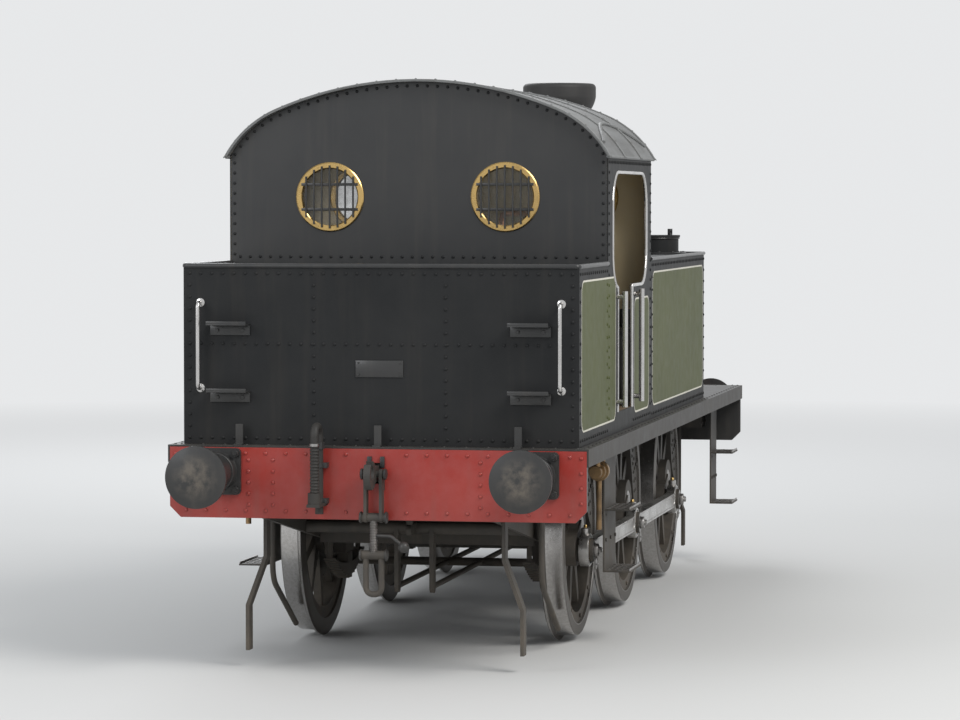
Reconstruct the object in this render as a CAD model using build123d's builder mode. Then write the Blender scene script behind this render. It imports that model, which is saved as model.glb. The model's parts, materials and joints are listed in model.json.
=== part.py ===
"""A small six-coupled side-tank steam locomotive for standard gauge, with inside cylinders.

Millimetres. X points to the chimney end, Y to the left-hand side, Z up. The origin is midway between
the buffer faces, on the centre line, at the lowest point of the wheel flanges.
"""
from build123d import *
import os
from math import asin, atan2, cos, radians, sin, sqrt

os.makedirs("parts", exist_ok=True)

# Fits: a curved seat, a running fit on a pin, and the room beside a moving piece
seat_gap = 0.3
running_gap = 0.3
end_play = 1
moving_gap = 8

# Wheels and axles
back_to_back = 1360
tyre_width = 133
tyre_thickness = 70
tread_diameter = 1219
flange_height = 28
flange_thickness = 32
axle_pitch = 1829
axle_diameter = 170
rim_thickness = 62
rim_width = 105
hub_diameter = 300
spoke_count = 10
spoke_width = 80
spoke_thickness = 46
rod_throw = 230
pin_diameter = 90
right_pin_angle = 205
crank_throw = 254
crank_web_radius = 110
crank_web_thickness = 90
crank_pin_length = 110
crank_pin_diameter = 160
cylinder_spacing = 640

rail_z = flange_height
tread_radius = tread_diameter / 2
flange_radius = tread_radius + flange_height
axle_z = rail_z + tread_radius
axle_radius = axle_diameter / 2
wheel_back_y = back_to_back / 2
wheel_face_y = wheel_back_y + tyre_width
rim_outer = tread_radius - tyre_thickness
rim_inner = rim_outer - rim_thickness
crank_sweep = crank_throw + crank_web_radius

# Lengths from the front buffer beam back to the rear one
buffer_length = 500
front_platform = 679
smokebox_length = 700
tank_setback = 260
tank_length = 2530
cab_length = 1680
bunker_length = 1000
rear_platform = 89
front_overhang = 1500

frame_length = (
    front_platform + smokebox_length + tank_setback + tank_length
    + cab_length + bunker_length + rear_platform
)
beam_face = frame_length / 2
smokebox_front = beam_face - front_platform
smokebox_rear = smokebox_front - smokebox_length
tank_front = smokebox_rear - tank_setback
cab_front = tank_front - tank_length
cab_rear = cab_front - cab_length
bunker_rear = cab_rear - bunker_length
leading_x = beam_face - front_overhang
driving_x = leading_x - axle_pitch
trailing_x = driving_x - axle_pitch
axles = {"leading": leading_x, "driving": driving_x, "trailing": trailing_x}

# Frames, beams and running plate
frame_spacing = 1240
frame_thickness = 25
beam_thickness = 28
beam_depth = 380
footplate_height = 1190
footplate_thickness = 10
footplate_width = 2290
valance_depth = 85
valance_thickness = 10
buffer_height = 1050
buffer_spacing = 1727
horn_width = 210
horn_play = 0.5
axlebox_height = 300
frame_depth_at_horns = 200
frame_depth_between = 60

frame_inner = frame_spacing / 2
frame_outer = frame_inner + frame_thickness
plate_top = rail_z + footplate_height
plate_under = plate_top - footplate_thickness
plate_edge = footplate_width / 2
beam_bottom = plate_under - beam_depth
beam_inner = beam_face - beam_thickness
buffer_y = buffer_spacing / 2
buffer_z = rail_z + buffer_height
frame_bottom = axle_z - frame_depth_at_horns
frame_waist = axle_z - frame_depth_between
opening_half = frame_inner - 10
wheel_slot_inner = frame_outer + moving_gap
wheel_slot_outer = wheel_face_y + 47

# Boiler, firebox and smokebox
boiler_pitch = 1790
barrel_radius = 545
firebox_radius = 560
smokebox_radius = 590
smokebox_plate = 12
door_radius = 450
door_opening = 425
firebox_clearance = 26
firebox_leg_height = 730
band_width = 50
band_thickness = 3

boiler_z = rail_z + boiler_pitch
firebox_front = driving_x - crank_sweep - firebox_clearance
firebox_rear = trailing_x + axle_radius + 134
firebox_bottom = rail_z + firebox_leg_height
barrel_top = boiler_z + barrel_radius
firebox_top = boiler_z + firebox_radius
smokebox_top = boiler_z + smokebox_radius

# Tanks, cab and bunker
tank_height = 960
tank_width = 2160
tank_clearance = 15
sheet = 8
roof_height = 3170
roof_crown_half = 800
roof_crown_rise = 163
roof_shoulder_radius = 610
roof_overhang = 10
roof_end_overhang = 60
window_radius = 165
window_height = 2520
front_window_y = 690
rear_window_y = 500
doorway_width = 560
doorway_setback = 760
waist_height = 2010
opening_height = 650
opening_front_pillar = 190
opening_rear_pillar = 170
opening_corner = 200
floor_height = 117
floor_thickness = 40
coal_floor = 320
coal_slope = 330

tank_top = plate_top + tank_height
tank_outer = tank_width / 2
tank_inner = firebox_radius + tank_clearance
window_z = rail_z + window_height
roof_top = rail_z + roof_height
floor_top = plate_top + floor_height
side_inner = tank_outer - sheet
door_front = cab_front - doorway_setback
door_rear = door_front - doorway_width
door_middle = (door_front + door_rear) / 2
waist_z = rail_z + waist_height
wheel_cover_radius = flange_radius + 35

# Mountings
chimney_setback = 350
chimney_height = 3300
chimney_bore = 150
dome_setback = 930
dome_height = 560
valve_setback = 225
filler_setback = 480
filler_inset = 260
filler_radius = 150
filler_wall = 15
filler_height = 110
rail_radius = 16
handrail_reach = 64

chimney_x = smokebox_front - chimney_setback
chimney_top = rail_z + chimney_height
dome_x = tank_front - dome_setback
valve_x = cab_front + valve_setback
filler_x = tank_front - filler_setback
filler_y = tank_outer - filler_inset
filler_top = tank_top + filler_height
handrail_z = tank_top + 62
handrail_r = smokebox_radius + handrail_reach
handrail_y = sqrt(handrail_r**2 - (handrail_z - boiler_z) ** 2)

pieces = {}


def side_plane(y):
    """A side elevation at y: sketch x is X, sketch y is Z, and an extrusion runs towards -Y."""
    return Plane.XZ.offset(-y)


def end_plane(x):
    """A cross section at x: sketch x is Y, sketch y is Z, and an extrusion runs towards +X."""
    return Plane.YZ.offset(x)


def axle_plane(x):
    """A plane through an axle's centre line: sketch x is Y and sketch y is the radius."""
    return Plane(origin=(x, 0, axle_z), x_dir=(0, 1, 0), z_dir=(1, 0, 0))


def upright_plane(x, y):
    """A vertical plane through (x, y): sketch x is the distance from it and sketch y is Z."""
    return Plane(origin=(x, y, 0), x_dir=(1, 0, 0), z_dir=(0, -1, 0))


def pin_angle(side):
    """The direction of a wheel's crank pin. The left-hand pins stand a quarter turn ahead."""
    return right_pin_angle + (90 if side > 0 else 0)


def pin_place(axle, side):
    """The centre of an outside crank pin in side elevation."""
    angle = radians(pin_angle(side))
    return axle + rod_throw * cos(angle), axle_z + rod_throw * sin(angle)


# Main frames: one plate each side, cut for the axleboxes, with a hornstay closing each gap below
hornstay = 25
horn_top = axle_z + 190
lightening_hole = (460, 220)
with BuildPart() as frame_plates:
    with BuildSketch(side_plane(frame_outer)):
        with BuildLine():
            outline = [(beam_inner, plate_under), (beam_inner, beam_bottom)]
            for axle in axles.values():
                outline += [
                    (axle + 250, frame_waist),
                    (axle + 170, frame_bottom),
                    (axle - 170, frame_bottom),
                    (axle - 250, frame_waist),
                ]
            outline += [(-beam_inner, beam_bottom), (-beam_inner, plate_under)]
            Polyline(*outline, close=True)
        make_face()
        for axle in axles.values():
            with Locations((axle, (frame_bottom + hornstay + horn_top) / 2)):
                Rectangle(horn_width + 2 * horn_play, horn_top - frame_bottom - hornstay, mode=Mode.SUBTRACT)
        for middle in (driving_x + axle_pitch / 2, driving_x - axle_pitch / 2):
            with Locations((middle, axle_z + 200)):
                SlotOverall(*lightening_hole, mode=Mode.SUBTRACT)
    extrude(amount=frame_thickness)
    mirror(about=Plane.XZ)
pieces["frame_plates"] = frame_plates

# Inside cylinders: two bores tilted over the leading axle, in one casting bolted between the frames
cylinder_rise = 165
cylinder_length = 760
cylinder_radius = 225
cover_radius = 250
cover_thickness = 45
cylinder_setback = 250
cylinder_y = cylinder_spacing / 2
tilt = atan2(cylinder_rise, axle_pitch)
block_front = beam_inner - cylinder_setback
block_rear = block_front - cylinder_length
block_top = plate_under - 25


def bore_z(x):
    """The height of the tilted cylinder centre line at x."""
    return axle_z + (x - driving_x) * cylinder_rise / axle_pitch


def bore_plane(x, side):
    """A plane square to the tilted cylinder centre line at x, facing forward."""
    return Plane(
        origin=(x, side * cylinder_y, bore_z(x)),
        x_dir=(0, 1, 0),
        z_dir=(cos(tilt), 0, sin(tilt)),
    )


with BuildPart() as cylinders:
    block_bottom = bore_z(block_rear) - 40
    with BuildSketch(end_plane(block_rear + 60)):
        with Locations((0, (block_bottom + block_top) / 2)):
            Rectangle(frame_spacing, block_top - block_bottom)
    extrude(amount=cylinder_length - 120)
    for side in (1, -1):
        with BuildSketch(bore_plane(block_rear, side)):
            Circle(cylinder_radius)
        extrude(amount=cylinder_length / cos(tilt))
        with BuildSketch(bore_plane(block_front, side)):
            Circle(cover_radius)
        extrude(amount=cover_thickness)
        with BuildSketch(bore_plane(block_rear, side)):
            Circle(cover_radius)
        extrude(amount=-cover_thickness)
pieces["cylinders"] = cylinders

# Cross members: the motion plate, the one behind the trailing axle, and the drag boxes
motion_plate_x = leading_x - 560
rear_stretcher_x = trailing_x - 420
stretcher_plate = 22
stretcher_top = plate_under - 30
bar_low = 60
rod_window = (200, 210)
with BuildPart() as frame_stretchers:
    with BuildSketch(end_plane(motion_plate_x - stretcher_plate)):
        with Locations((0, (frame_waist + stretcher_top) / 2)):
            Rectangle(frame_spacing, stretcher_top - frame_waist)
        window_middle = bore_z(motion_plate_x) + bar_low - 15 - rod_window[1] / 2
        with Locations((cylinder_y, window_middle), (-cylinder_y, window_middle)):
            RectangleRounded(*rod_window, 40, mode=Mode.SUBTRACT)
    extrude(amount=stretcher_plate)
    with BuildSketch(end_plane(rear_stretcher_x - stretcher_plate)):
        with Locations((0, (frame_waist + stretcher_top) / 2)):
            Rectangle(frame_spacing, stretcher_top - frame_waist)
    extrude(amount=stretcher_plate)
    with BuildSketch(Plane.XY.offset(buffer_z - 80)):
        with Locations((-beam_inner + 210, 0)):
            Rectangle(420, frame_spacing)
        with Locations((beam_inner - 90, 0)):
            Rectangle(180, frame_spacing)
    extrude(amount=stretcher_plate)
pieces["frame_stretchers"] = frame_stretchers

# Slide bars: a pair above each piston rod, from the rear cylinder cover to the motion plate
bar_thickness = 30
bar_width = 70
bar_gap = 75
with BuildPart() as slide_bars:
    for side in (1, -1):
        for height in (bar_low, bar_low + bar_thickness + bar_gap):
            bar_front = block_rear - cover_thickness - (height + bar_thickness) * tilt
            with BuildSketch(side_plane(side * cylinder_y + bar_width / 2)):
                with BuildLine():
                    Polyline(
                        (motion_plate_x, bore_z(motion_plate_x) + height),
                        (bar_front, bore_z(bar_front) + height),
                        (bar_front, bore_z(bar_front) + height + bar_thickness),
                        (motion_plate_x, bore_z(motion_plate_x) + height + bar_thickness),
                        close=True,
                    )
                make_face()
            extrude(amount=bar_width)
pieces["slide_bars"] = slide_bars

# Crossheads on their piston rods, drawn at the front end of the stroke
crosshead_length = 240
crosshead_back = 330
crosshead_x = block_rear - cover_thickness - crosshead_back
slipper_height = bar_gap - 2 * end_play
slipper_middle = bar_low + bar_thickness + bar_gap / 2
cheek_thickness = 14
cheek_top = slipper_middle + slipper_height / 2
body_half = 48
with BuildPart() as crossheads:
    for side in (1, -1):
        with BuildSketch(bore_plane(crosshead_x, side)):
            with Locations((0, slipper_middle)):
                Rectangle(bar_width + 2, slipper_height)
            for edge in (1, -1):
                cheek_y = edge * (bar_width / 2 + end_play + cheek_thickness / 2)
                with Locations((cheek_y, (cheek_top - body_half) / 2)):
                    Rectangle(cheek_thickness, cheek_top + body_half)
            Rectangle(bar_width + 4, 2 * body_half)
        extrude(amount=crosshead_length)
        with BuildSketch(bore_plane(crosshead_x + crosshead_length - 5, side)):
            Circle(30)
        extrude(amount=crosshead_back - crosshead_length + 4)
pieces["crossheads"] = crossheads

# Buffer beams: a steel plate at each end, slotted for the drawhook
hook_slot = (50, 110)
with BuildPart() as buffer_beams:
    with BuildSketch(end_plane(beam_inner)):
        with Locations((0, plate_under - beam_depth / 2)):
            Rectangle(footplate_width - 2 * valance_thickness, beam_depth)
        with Locations((0, buffer_z)):
            Rectangle(*hook_slot, mode=Mode.SUBTRACT)
    extrude(amount=beam_thickness)
    lower_corners = buffer_beams.edges().filter_by(Axis.X).group_by(Axis.Z)[0]
    chamfer(lower_corners, 60)
    mirror(about=Plane.YZ)
pieces["buffer_beams"] = buffer_beams

# Running plate: open over the boiler and the wheels, with a valance hanging along each edge
saddle_rear = smokebox_rear + 60
saddle_front = smokebox_front - 60
plate_opening_front = saddle_rear - 20
plate_opening_rear = firebox_rear - 5
wheel_slot_half = sqrt(flange_radius**2 - (plate_under - axle_z) ** 2) + 35
wheel_slot_width = wheel_slot_outer - wheel_slot_inner
with BuildPart() as running_plate:
    with BuildSketch(Plane.XY.offset(plate_under)):
        Rectangle(2 * beam_face, footplate_width)
        with Locations(((plate_opening_front + plate_opening_rear) / 2, 0)):
            Rectangle(plate_opening_front - plate_opening_rear, 2 * opening_half, mode=Mode.SUBTRACT)
        for axle in axles.values():
            for side in (1, -1):
                with Locations((axle, side * (wheel_slot_inner + wheel_slot_outer) / 2)):
                    Rectangle(2 * wheel_slot_half, wheel_slot_width, mode=Mode.SUBTRACT)
    extrude(amount=footplate_thickness)
    with BuildSketch(Plane.XY.offset(plate_under)):
        for side in (1, -1):
            with Locations((0, side * (plate_edge - valance_thickness / 2))):
                Rectangle(2 * beam_face, valance_thickness)
    extrude(amount=-valance_depth)
pieces["running_plate"] = running_plate

# Axleboxes: a block on each journal, held in the horns
axlebox_inner = frame_inner - 75
axlebox_outer = wheel_back_y - moving_gap
with BuildPart() as axleboxes:
    for axle in axles.values():
        with BuildSketch(side_plane(axlebox_outer)):
            with Locations((axle, axle_z)):
                Rectangle(horn_width, axlebox_height)
                Circle(axle_radius + running_gap, mode=Mode.SUBTRACT)
        extrude(amount=axlebox_outer - axlebox_inner)
    mirror(about=Plane.XZ)
pieces["axleboxes"] = axleboxes

# Leaf springs below the axleboxes, hung by rods from brackets on the inside of the frames
spring_half = 380
spring_width = 72
leaf_thickness = 11
leaf_count = 7
leaf_step = 44
spring_camber = 55
spring_drop = 62
hanger_radius = 15
buckle_length = 96
spring_y = frame_inner - 6 - spring_width
spring_top = axle_z - axlebox_height / 2 - spring_drop
spring_bracket_z = spring_top + spring_camber + 150
hanger_reach = spring_half - 24


def leaf_height(reach):
    """The height of the spring's top leaf at a distance from the axle."""
    return spring_top + spring_camber * (reach / spring_half) ** 2


with BuildPart() as springs:
    for axle in axles.values():
        steps = []
        for leaf in range(leaf_count):
            reach = spring_half - leaf * leaf_step
            top = leaf_height(reach) - leaf * leaf_thickness
            steps += [(reach, top), (reach, top - leaf_thickness)]
        with BuildSketch(side_plane(spring_y + spring_width)):
            with BuildLine():
                ThreePointArc(
                    (axle - spring_half, leaf_height(spring_half)),
                    (axle, spring_top),
                    (axle + spring_half, leaf_height(spring_half)),
                )
                right_steps = [(axle + reach, height) for reach, height in steps]
                left_steps = [(axle - reach, height) for reach, height in reversed(steps)]
                Polyline(*right_steps, *left_steps)
            make_face()
            buckle_top = axle_z - axlebox_height / 2
            buckle_bottom = spring_top - leaf_count * leaf_thickness - 14
            with Locations((axle, (buckle_top + buckle_bottom) / 2)):
                Rectangle(buckle_length, buckle_top - buckle_bottom)
        extrude(amount=spring_width)
        hanger_foot = leaf_height(hanger_reach) - leaf_thickness / 2
        with BuildSketch(Plane.XY.offset(hanger_foot)):
            for end in (1, -1):
                with Locations((axle + end * hanger_reach, spring_y + spring_width / 2)):
                    Circle(hanger_radius)
        extrude(amount=spring_bracket_z - hanger_foot)
        with BuildSketch(Plane.XY.offset(spring_bracket_z)):
            for end in (1, -1):
                with Locations((axle + end * hanger_reach, (spring_y + frame_inner) / 2)):
                    Rectangle(70, frame_inner - spring_y)
        extrude(amount=45)
    mirror(about=Plane.XZ)
pieces["springs"] = springs

# Tyres: a flanged and coned ring shrunk on each wheel centre
for name, axle in axles.items():
    with BuildPart() as tyres:
        with BuildSketch(axle_plane(axle)):
            with BuildLine():
                Polyline(
                    (wheel_back_y, rim_outer + seat_gap),
                    (wheel_back_y, flange_radius - 18),
                    (wheel_back_y + 9, flange_radius),
                    (wheel_back_y + flange_thickness - 11, flange_radius),
                    (wheel_back_y + flange_thickness, tread_radius + 3),
                    (wheel_face_y - 6, tread_radius - 2),
                    (wheel_face_y, tread_radius - 8),
                    (wheel_face_y, rim_outer + seat_gap),
                    close=True,
                )
            make_face()
        revolve(axis=Axis((axle, 0, axle_z), (0, 1, 0)))
        mirror(about=Plane.XZ)
    pieces[f"{name}_tyres"] = tyres

# Wheel centres: hub, spokes, rim, crank boss and balance weight, with the outside crank pin pressed in.
# The pin has a shoulder behind the coupling rod and a washer in front of it.
hub_front = wheel_face_y + 8
boss_front = wheel_face_y + 18
boss_radius = pin_diameter / 2 + 50
rim_back = wheel_back_y + (tyre_width - rim_width) / 2
rim_front = rim_back + rim_width
spoke_middle = wheel_back_y + tyre_width / 2
spoke_back = spoke_middle - spoke_thickness / 2
spoke_front = spoke_middle + spoke_thickness / 2
spoke_length = rim_inner - hub_diameter / 2 + 30
spoke_taper = 87
weight_spread = {"leading": 28, "driving": 48, "trailing": 28}
weight_depth = 130
pin_radius = pin_diameter / 2
pin_collar_radius = pin_radius + 20
pin_washer = 20
rod_thickness = 55
rod_back = wheel_face_y + 37
rod_front = rod_back + rod_thickness
pin_end = rod_front + end_play + pin_washer


def layer(side, inner, outer):
    """The plane of a layer beside the frames, from which an extrusion fills it on either side."""
    return side_plane(max(side * inner, side * outer))


for name, axle in axles.items():
    with BuildPart() as centres:
        for side in (1, -1):
            turn = pin_angle(side)
            with BuildSketch(layer(side, rim_back, rim_front)):
                with Locations((axle, axle_z)):
                    Circle(rim_outer)
                    Circle(rim_inner, mode=Mode.SUBTRACT)
            extrude(amount=rim_width)
            with BuildSketch(layer(side, spoke_back, spoke_front)):
                with Locations((axle, axle_z)):
                    first = turn + 180 / spoke_count
                    with PolarLocations((hub_diameter / 2 + rim_inner) / 2, spoke_count, start_angle=first):
                        Trapezoid(spoke_width, spoke_length, spoke_taper, rotation=-90)
            extrude(amount=spoke_thickness)
            with BuildSketch(layer(side, wheel_back_y, hub_front)):
                with Locations((axle, axle_z)):
                    Circle(hub_diameter / 2)
            extrude(amount=hub_front - wheel_back_y)
            with BuildSketch(layer(side, spoke_back, boss_front)):
                with Locations((axle, axle_z)):
                    with PolarLocations(rod_throw, 1, start_angle=turn):
                        Circle(boss_radius)
                    with PolarLocations(rod_throw / 2, 1, start_angle=turn):
                        Rectangle(rod_throw, 2 * boss_radius - 30)
            extrude(amount=boss_front - spoke_back)
            spread = weight_spread[name]
            with BuildSketch(layer(side, rim_back, rim_front)):
                with BuildLine():
                    outer = CenterArc((axle, axle_z), rim_inner + 20, turn + 180 - spread, 2 * spread)
                    inward = Vector(weight_depth - rim_inner, 0).rotate(Axis.Z, turn)
                    ThreePointArc(outer @ 1, Vector(axle, axle_z) + inward, outer @ 0)
                make_face()
            extrude(amount=rim_width)
            for inner, outer, radius in (
                (boss_front - 20, rod_back - end_play, pin_collar_radius),
                (rod_back - end_play, rod_front + end_play, pin_radius),
                (rod_front + end_play, pin_end, pin_collar_radius),
            ):
                with BuildSketch(layer(side, inner, outer)):
                    with Locations(pin_place(axle, side)):
                        Circle(radius)
                extrude(amount=outer - inner)
        with BuildSketch(side_plane(wheel_face_y + 50)):
            with Locations((axle, axle_z)):
                Circle(axle_radius + seat_gap)
        extrude(amount=2 * wheel_face_y + 100, mode=Mode.SUBTRACT)
    pieces[f"{name}_centres"] = centres

# Axles. The driving axle has two inside cranks at a quarter turn.
axle_end = hub_front - 6
for name, axle in axles.items():
    with BuildPart() as axle_solid:
        with BuildSketch(side_plane(axle_end)):
            with Locations((axle, axle_z)):
                Circle(axle_radius)
        extrude(amount=2 * axle_end)
        if name == "driving":
            for side in (1, -1):
                crank_angle = pin_angle(side) + 180
                pin_left = side * cylinder_y + crank_pin_length / 2
                with BuildSketch(side_plane(pin_left + crank_web_thickness)):
                    with Locations((axle, axle_z)):
                        Circle(crank_web_radius + 30)
                        with PolarLocations(crank_throw, 1, start_angle=crank_angle):
                            Circle(crank_web_radius)
                        with PolarLocations(crank_throw / 2, 1, start_angle=crank_angle):
                            Rectangle(crank_throw, 2 * crank_web_radius)
                extrude(amount=crank_pin_length + 2 * crank_web_thickness)
                with BuildSketch(side_plane(pin_left)):
                    with Locations((axle, axle_z)):
                        Circle(crank_sweep + 20)
                        with PolarLocations(crank_throw, 1, start_angle=crank_angle):
                            Circle(crank_pin_diameter / 2, mode=Mode.SUBTRACT)
                extrude(amount=crank_pin_length, mode=Mode.SUBTRACT)
    pieces[f"{name}_axle"] = axle_solid

# Coupling rods: one each side, with a boss on every crank pin
rod_depth = 92
rod_boss_radius = pin_radius + 50
for side, word in ((1, "left"), (-1, "right")):
    with BuildPart() as rod:
        with BuildSketch(layer(side, rod_back, rod_front)):
            with Locations(pin_place(driving_x, side)):
                Rectangle(2 * axle_pitch, rod_depth)
            for axle in axles.values():
                with Locations(pin_place(axle, side)):
                    Circle(rod_boss_radius)
            for axle in axles.values():
                with Locations(pin_place(axle, side)):
                    Circle(pin_radius + running_gap, mode=Mode.SUBTRACT)
        extrude(amount=rod_thickness)
    pieces[f"coupling_rod_{word}"] = rod

# Brake gear: a block ahead of each wheel on a hanger, joined by cross beams, pull rods and a shaft
block_gap = 6
block_thickness = 50
block_width = 70
block_middle_y = wheel_face_y - 53
block_low_angle = -24
block_span = 32
hanger_x_reach = tread_radius + block_gap + block_thickness + 25
hanger_thickness = 24
hanger_width = 60
hanger_pin_z = plate_under - 198
beam_z = rail_z + 342
beam_radius = 25
pull_rod_y = 100
pull_rod_radius = 16
brake_shaft_x = trailing_x - 761
brake_shaft_z = rail_z + 672
hanger_inner = block_middle_y - hanger_thickness / 2
hanger_outer = block_middle_y + hanger_thickness / 2
with BuildPart() as brake_gear:
    for axle in axles.values():
        hanger_x = axle + hanger_x_reach
        for side in (1, -1):
            with BuildSketch(layer(side, block_middle_y - block_width / 2, block_middle_y + block_width / 2)):
                with BuildLine():
                    inner_radius = tread_radius + block_gap
                    inner = CenterArc((axle, axle_z), inner_radius, block_low_angle, block_span)
                    outer = CenterArc((axle, axle_z), inner_radius + block_thickness, block_low_angle, block_span)
                    Line(inner @ 0, outer @ 0)
                    Line(inner @ 1, outer @ 1)
                make_face()
            extrude(amount=block_width)
            with BuildSketch(layer(side, hanger_inner, hanger_outer)):
                with Locations((hanger_x, (hanger_pin_z + beam_z) / 2)):
                    SlotCenterToCenter(hanger_pin_z - beam_z, hanger_width, rotation=90)
            extrude(amount=hanger_thickness)
            with BuildSketch(layer(side, frame_outer, hanger_outer + 14)):
                with Locations((hanger_x, hanger_pin_z)):
                    Circle(22)
            extrude(amount=hanger_outer + 14 - frame_outer)
        with BuildSketch(side_plane(hanger_outer + 18)):
            with Locations((hanger_x, beam_z)):
                Circle(beam_radius)
        extrude(amount=2 * (hanger_outer + 18))
    for side in (1, -1):
        with BuildSketch(end_plane(brake_shaft_x)):
            with Locations((side * pull_rod_y, beam_z)):
                Circle(pull_rod_radius)
        extrude(amount=leading_x + hanger_x_reach - brake_shaft_x)
        with BuildSketch(layer(side, pull_rod_y - 12, pull_rod_y + 12)):
            with Locations((brake_shaft_x, (brake_shaft_z + beam_z) / 2)):
                SlotCenterToCenter(brake_shaft_z - beam_z, 70, rotation=90)
        extrude(amount=24)
    with BuildSketch(side_plane(frame_inner)):
        with Locations((brake_shaft_x, brake_shaft_z)):
            Circle(35)
    extrude(amount=frame_spacing)
    with BuildSketch(side_plane(14)):
        with Locations((brake_shaft_x - 75, brake_shaft_z)):
            SlotCenterToCenter(150, 60)
    extrude(amount=28)
pieces["brake_gear"] = brake_gear

# Brake cylinder, standing below the cab floor with its rod on the shaft's arm
with BuildPart() as brake_cylinder:
    with BuildSketch(Plane.XY.offset(plate_under)):
        with Locations((brake_shaft_x - 150, 0)):
            Circle(160)
    extrude(amount=-30)
    with BuildSketch(Plane.XY.offset(plate_under - 30)):
        with Locations((brake_shaft_x - 150, 0)):
            Circle(135)
    extrude(amount=-280)
    with BuildSketch(Plane.XY.offset(plate_under - 310)):
        with Locations((brake_shaft_x - 150, 0)):
            Circle(20)
    extrude(amount=brake_shaft_z + 30 + seat_gap - plate_under + 310)
pieces["brake_cylinder"] = brake_cylinder

# Buffers: a tapered housing on a square flange, with a slightly domed head
buffer_head_radius = 165
buffer_dome = 20
buffer_dome_radius = (buffer_head_radius**2 + buffer_dome**2) / (2 * buffer_dome)
buffer_dome_rise = sqrt(buffer_dome_radius**2 - (buffer_head_radius / 2) ** 2) - buffer_dome_radius
buffer_flange = 250
flange_plate = 20
housing_foot = 100
housing_mouth = 84
housing_length = 300
collar_radius = 96
collar_length = 32
plunger_radius = 56
head_rim = 20
head_back = 28
buffer_face = beam_face + buffer_length
with BuildPart() as buffers:
    for side in (1, -1):
        with BuildSketch(side_plane(side * buffer_y)):
            with BuildLine():
                Polyline(
                    (beam_face + flange_plate / 2, buffer_z),
                    (beam_face + flange_plate / 2, buffer_z + housing_foot + 12),
                    (beam_face + flange_plate + 12, buffer_z + housing_foot),
                    (beam_face + housing_length, buffer_z + housing_mouth),
                    (beam_face + housing_length + 4, buffer_z + collar_radius),
                    (beam_face + housing_length + collar_length, buffer_z + collar_radius),
                    (beam_face + housing_length + collar_length, buffer_z + plunger_radius),
                    (buffer_face - buffer_dome - head_back, buffer_z + plunger_radius),
                    (buffer_face - buffer_dome - head_rim, buffer_z + buffer_head_radius),
                    (buffer_face - buffer_dome, buffer_z + buffer_head_radius),
                )
                ThreePointArc(
                    (buffer_face - buffer_dome, buffer_z + buffer_head_radius),
                    (buffer_face + buffer_dome_rise, buffer_z + buffer_head_radius / 2),
                    (buffer_face, buffer_z),
                )
                Line((buffer_face, buffer_z), (beam_face + flange_plate / 2, buffer_z))
            make_face()
        revolve(axis=Axis((0, side * buffer_y, buffer_z), (1, 0, 0)))
        with BuildSketch(end_plane(beam_face)):
            with Locations((side * buffer_y, buffer_z)):
                RectangleRounded(buffer_flange, buffer_flange, 25)
        extrude(amount=flange_plate)
    mirror(about=Plane.YZ)
pieces["buffers"] = buffers

# Drawhooks with their hanging screw couplings
hook_thickness = 38
hook_tail = 160
hook_centre_x = beam_face + 165
hook_pin_x = beam_face + 62
link_pin_radius = 19
link_length = 230
screw_length = 200
bow_length = 210
link_spread = 42
with BuildPart() as drawhooks:
    with BuildSketch(side_plane(hook_thickness / 2)):
        with Locations((beam_face - 30, buffer_z)):
            Rectangle(2 * hook_tail, 84)
        with Locations((hook_centre_x, buffer_z)):
            Circle(76)
        with Locations((hook_centre_x + 8, buffer_z + 14)):
            Circle(36, mode=Mode.SUBTRACT)
            with Locations((12, 45)):
                Rectangle(46, 90, rotation=-18, mode=Mode.SUBTRACT)
        with Locations((hook_pin_x, buffer_z)):
            Circle(link_pin_radius + running_gap, mode=Mode.SUBTRACT)
    extrude(amount=hook_thickness)
    with BuildSketch(end_plane(beam_inner - 30)):
        with Locations((0, buffer_z)):
            Rectangle(100, 100)
    extrude(amount=30)
    mirror(about=Plane.YZ)
pieces["drawhooks"] = drawhooks

nut_z = buffer_z - link_length
lower_nut_z = nut_z - screw_length
bow_z = lower_nut_z - bow_length
with BuildPart() as screw_couplings:
    with BuildSketch(side_plane(link_spread + 16)):
        with Locations((hook_pin_x, buffer_z)):
            Circle(link_pin_radius)
    extrude(amount=2 * (link_spread + 16))
    for side in (1, -1):
        with BuildSketch(layer(side, link_spread - 8, link_spread + 8)):
            with Locations((hook_pin_x, (buffer_z + nut_z) / 2)):
                SlotCenterToCenter(link_length, 56, rotation=90)
        extrude(amount=16)
    for height in (nut_z, lower_nut_z):
        with BuildSketch(side_plane(link_spread + 22)):
            with Locations((hook_pin_x, height)):
                Circle(24)
        extrude(amount=2 * (link_spread + 22))
    with BuildSketch(Plane.XY.offset(lower_nut_z)):
        with Locations((hook_pin_x, 0)):
            Circle(18)
    extrude(amount=screw_length)
    with BuildLine() as bow:
        FilletPolyline(
            (hook_pin_x, link_spread, lower_nut_z),
            (hook_pin_x, link_spread, bow_z),
            (hook_pin_x, -link_spread, bow_z),
            (hook_pin_x, -link_spread, lower_nut_z),
            radius=link_spread - 4,
        )
    with BuildSketch(Plane.XY.offset(lower_nut_z)):
        with Locations((hook_pin_x, link_spread)):
            Circle(16)
    sweep(path=bow.wires()[0])
    mirror(about=Plane.YZ)
pieces["screw_couplings"] = screw_couplings

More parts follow.
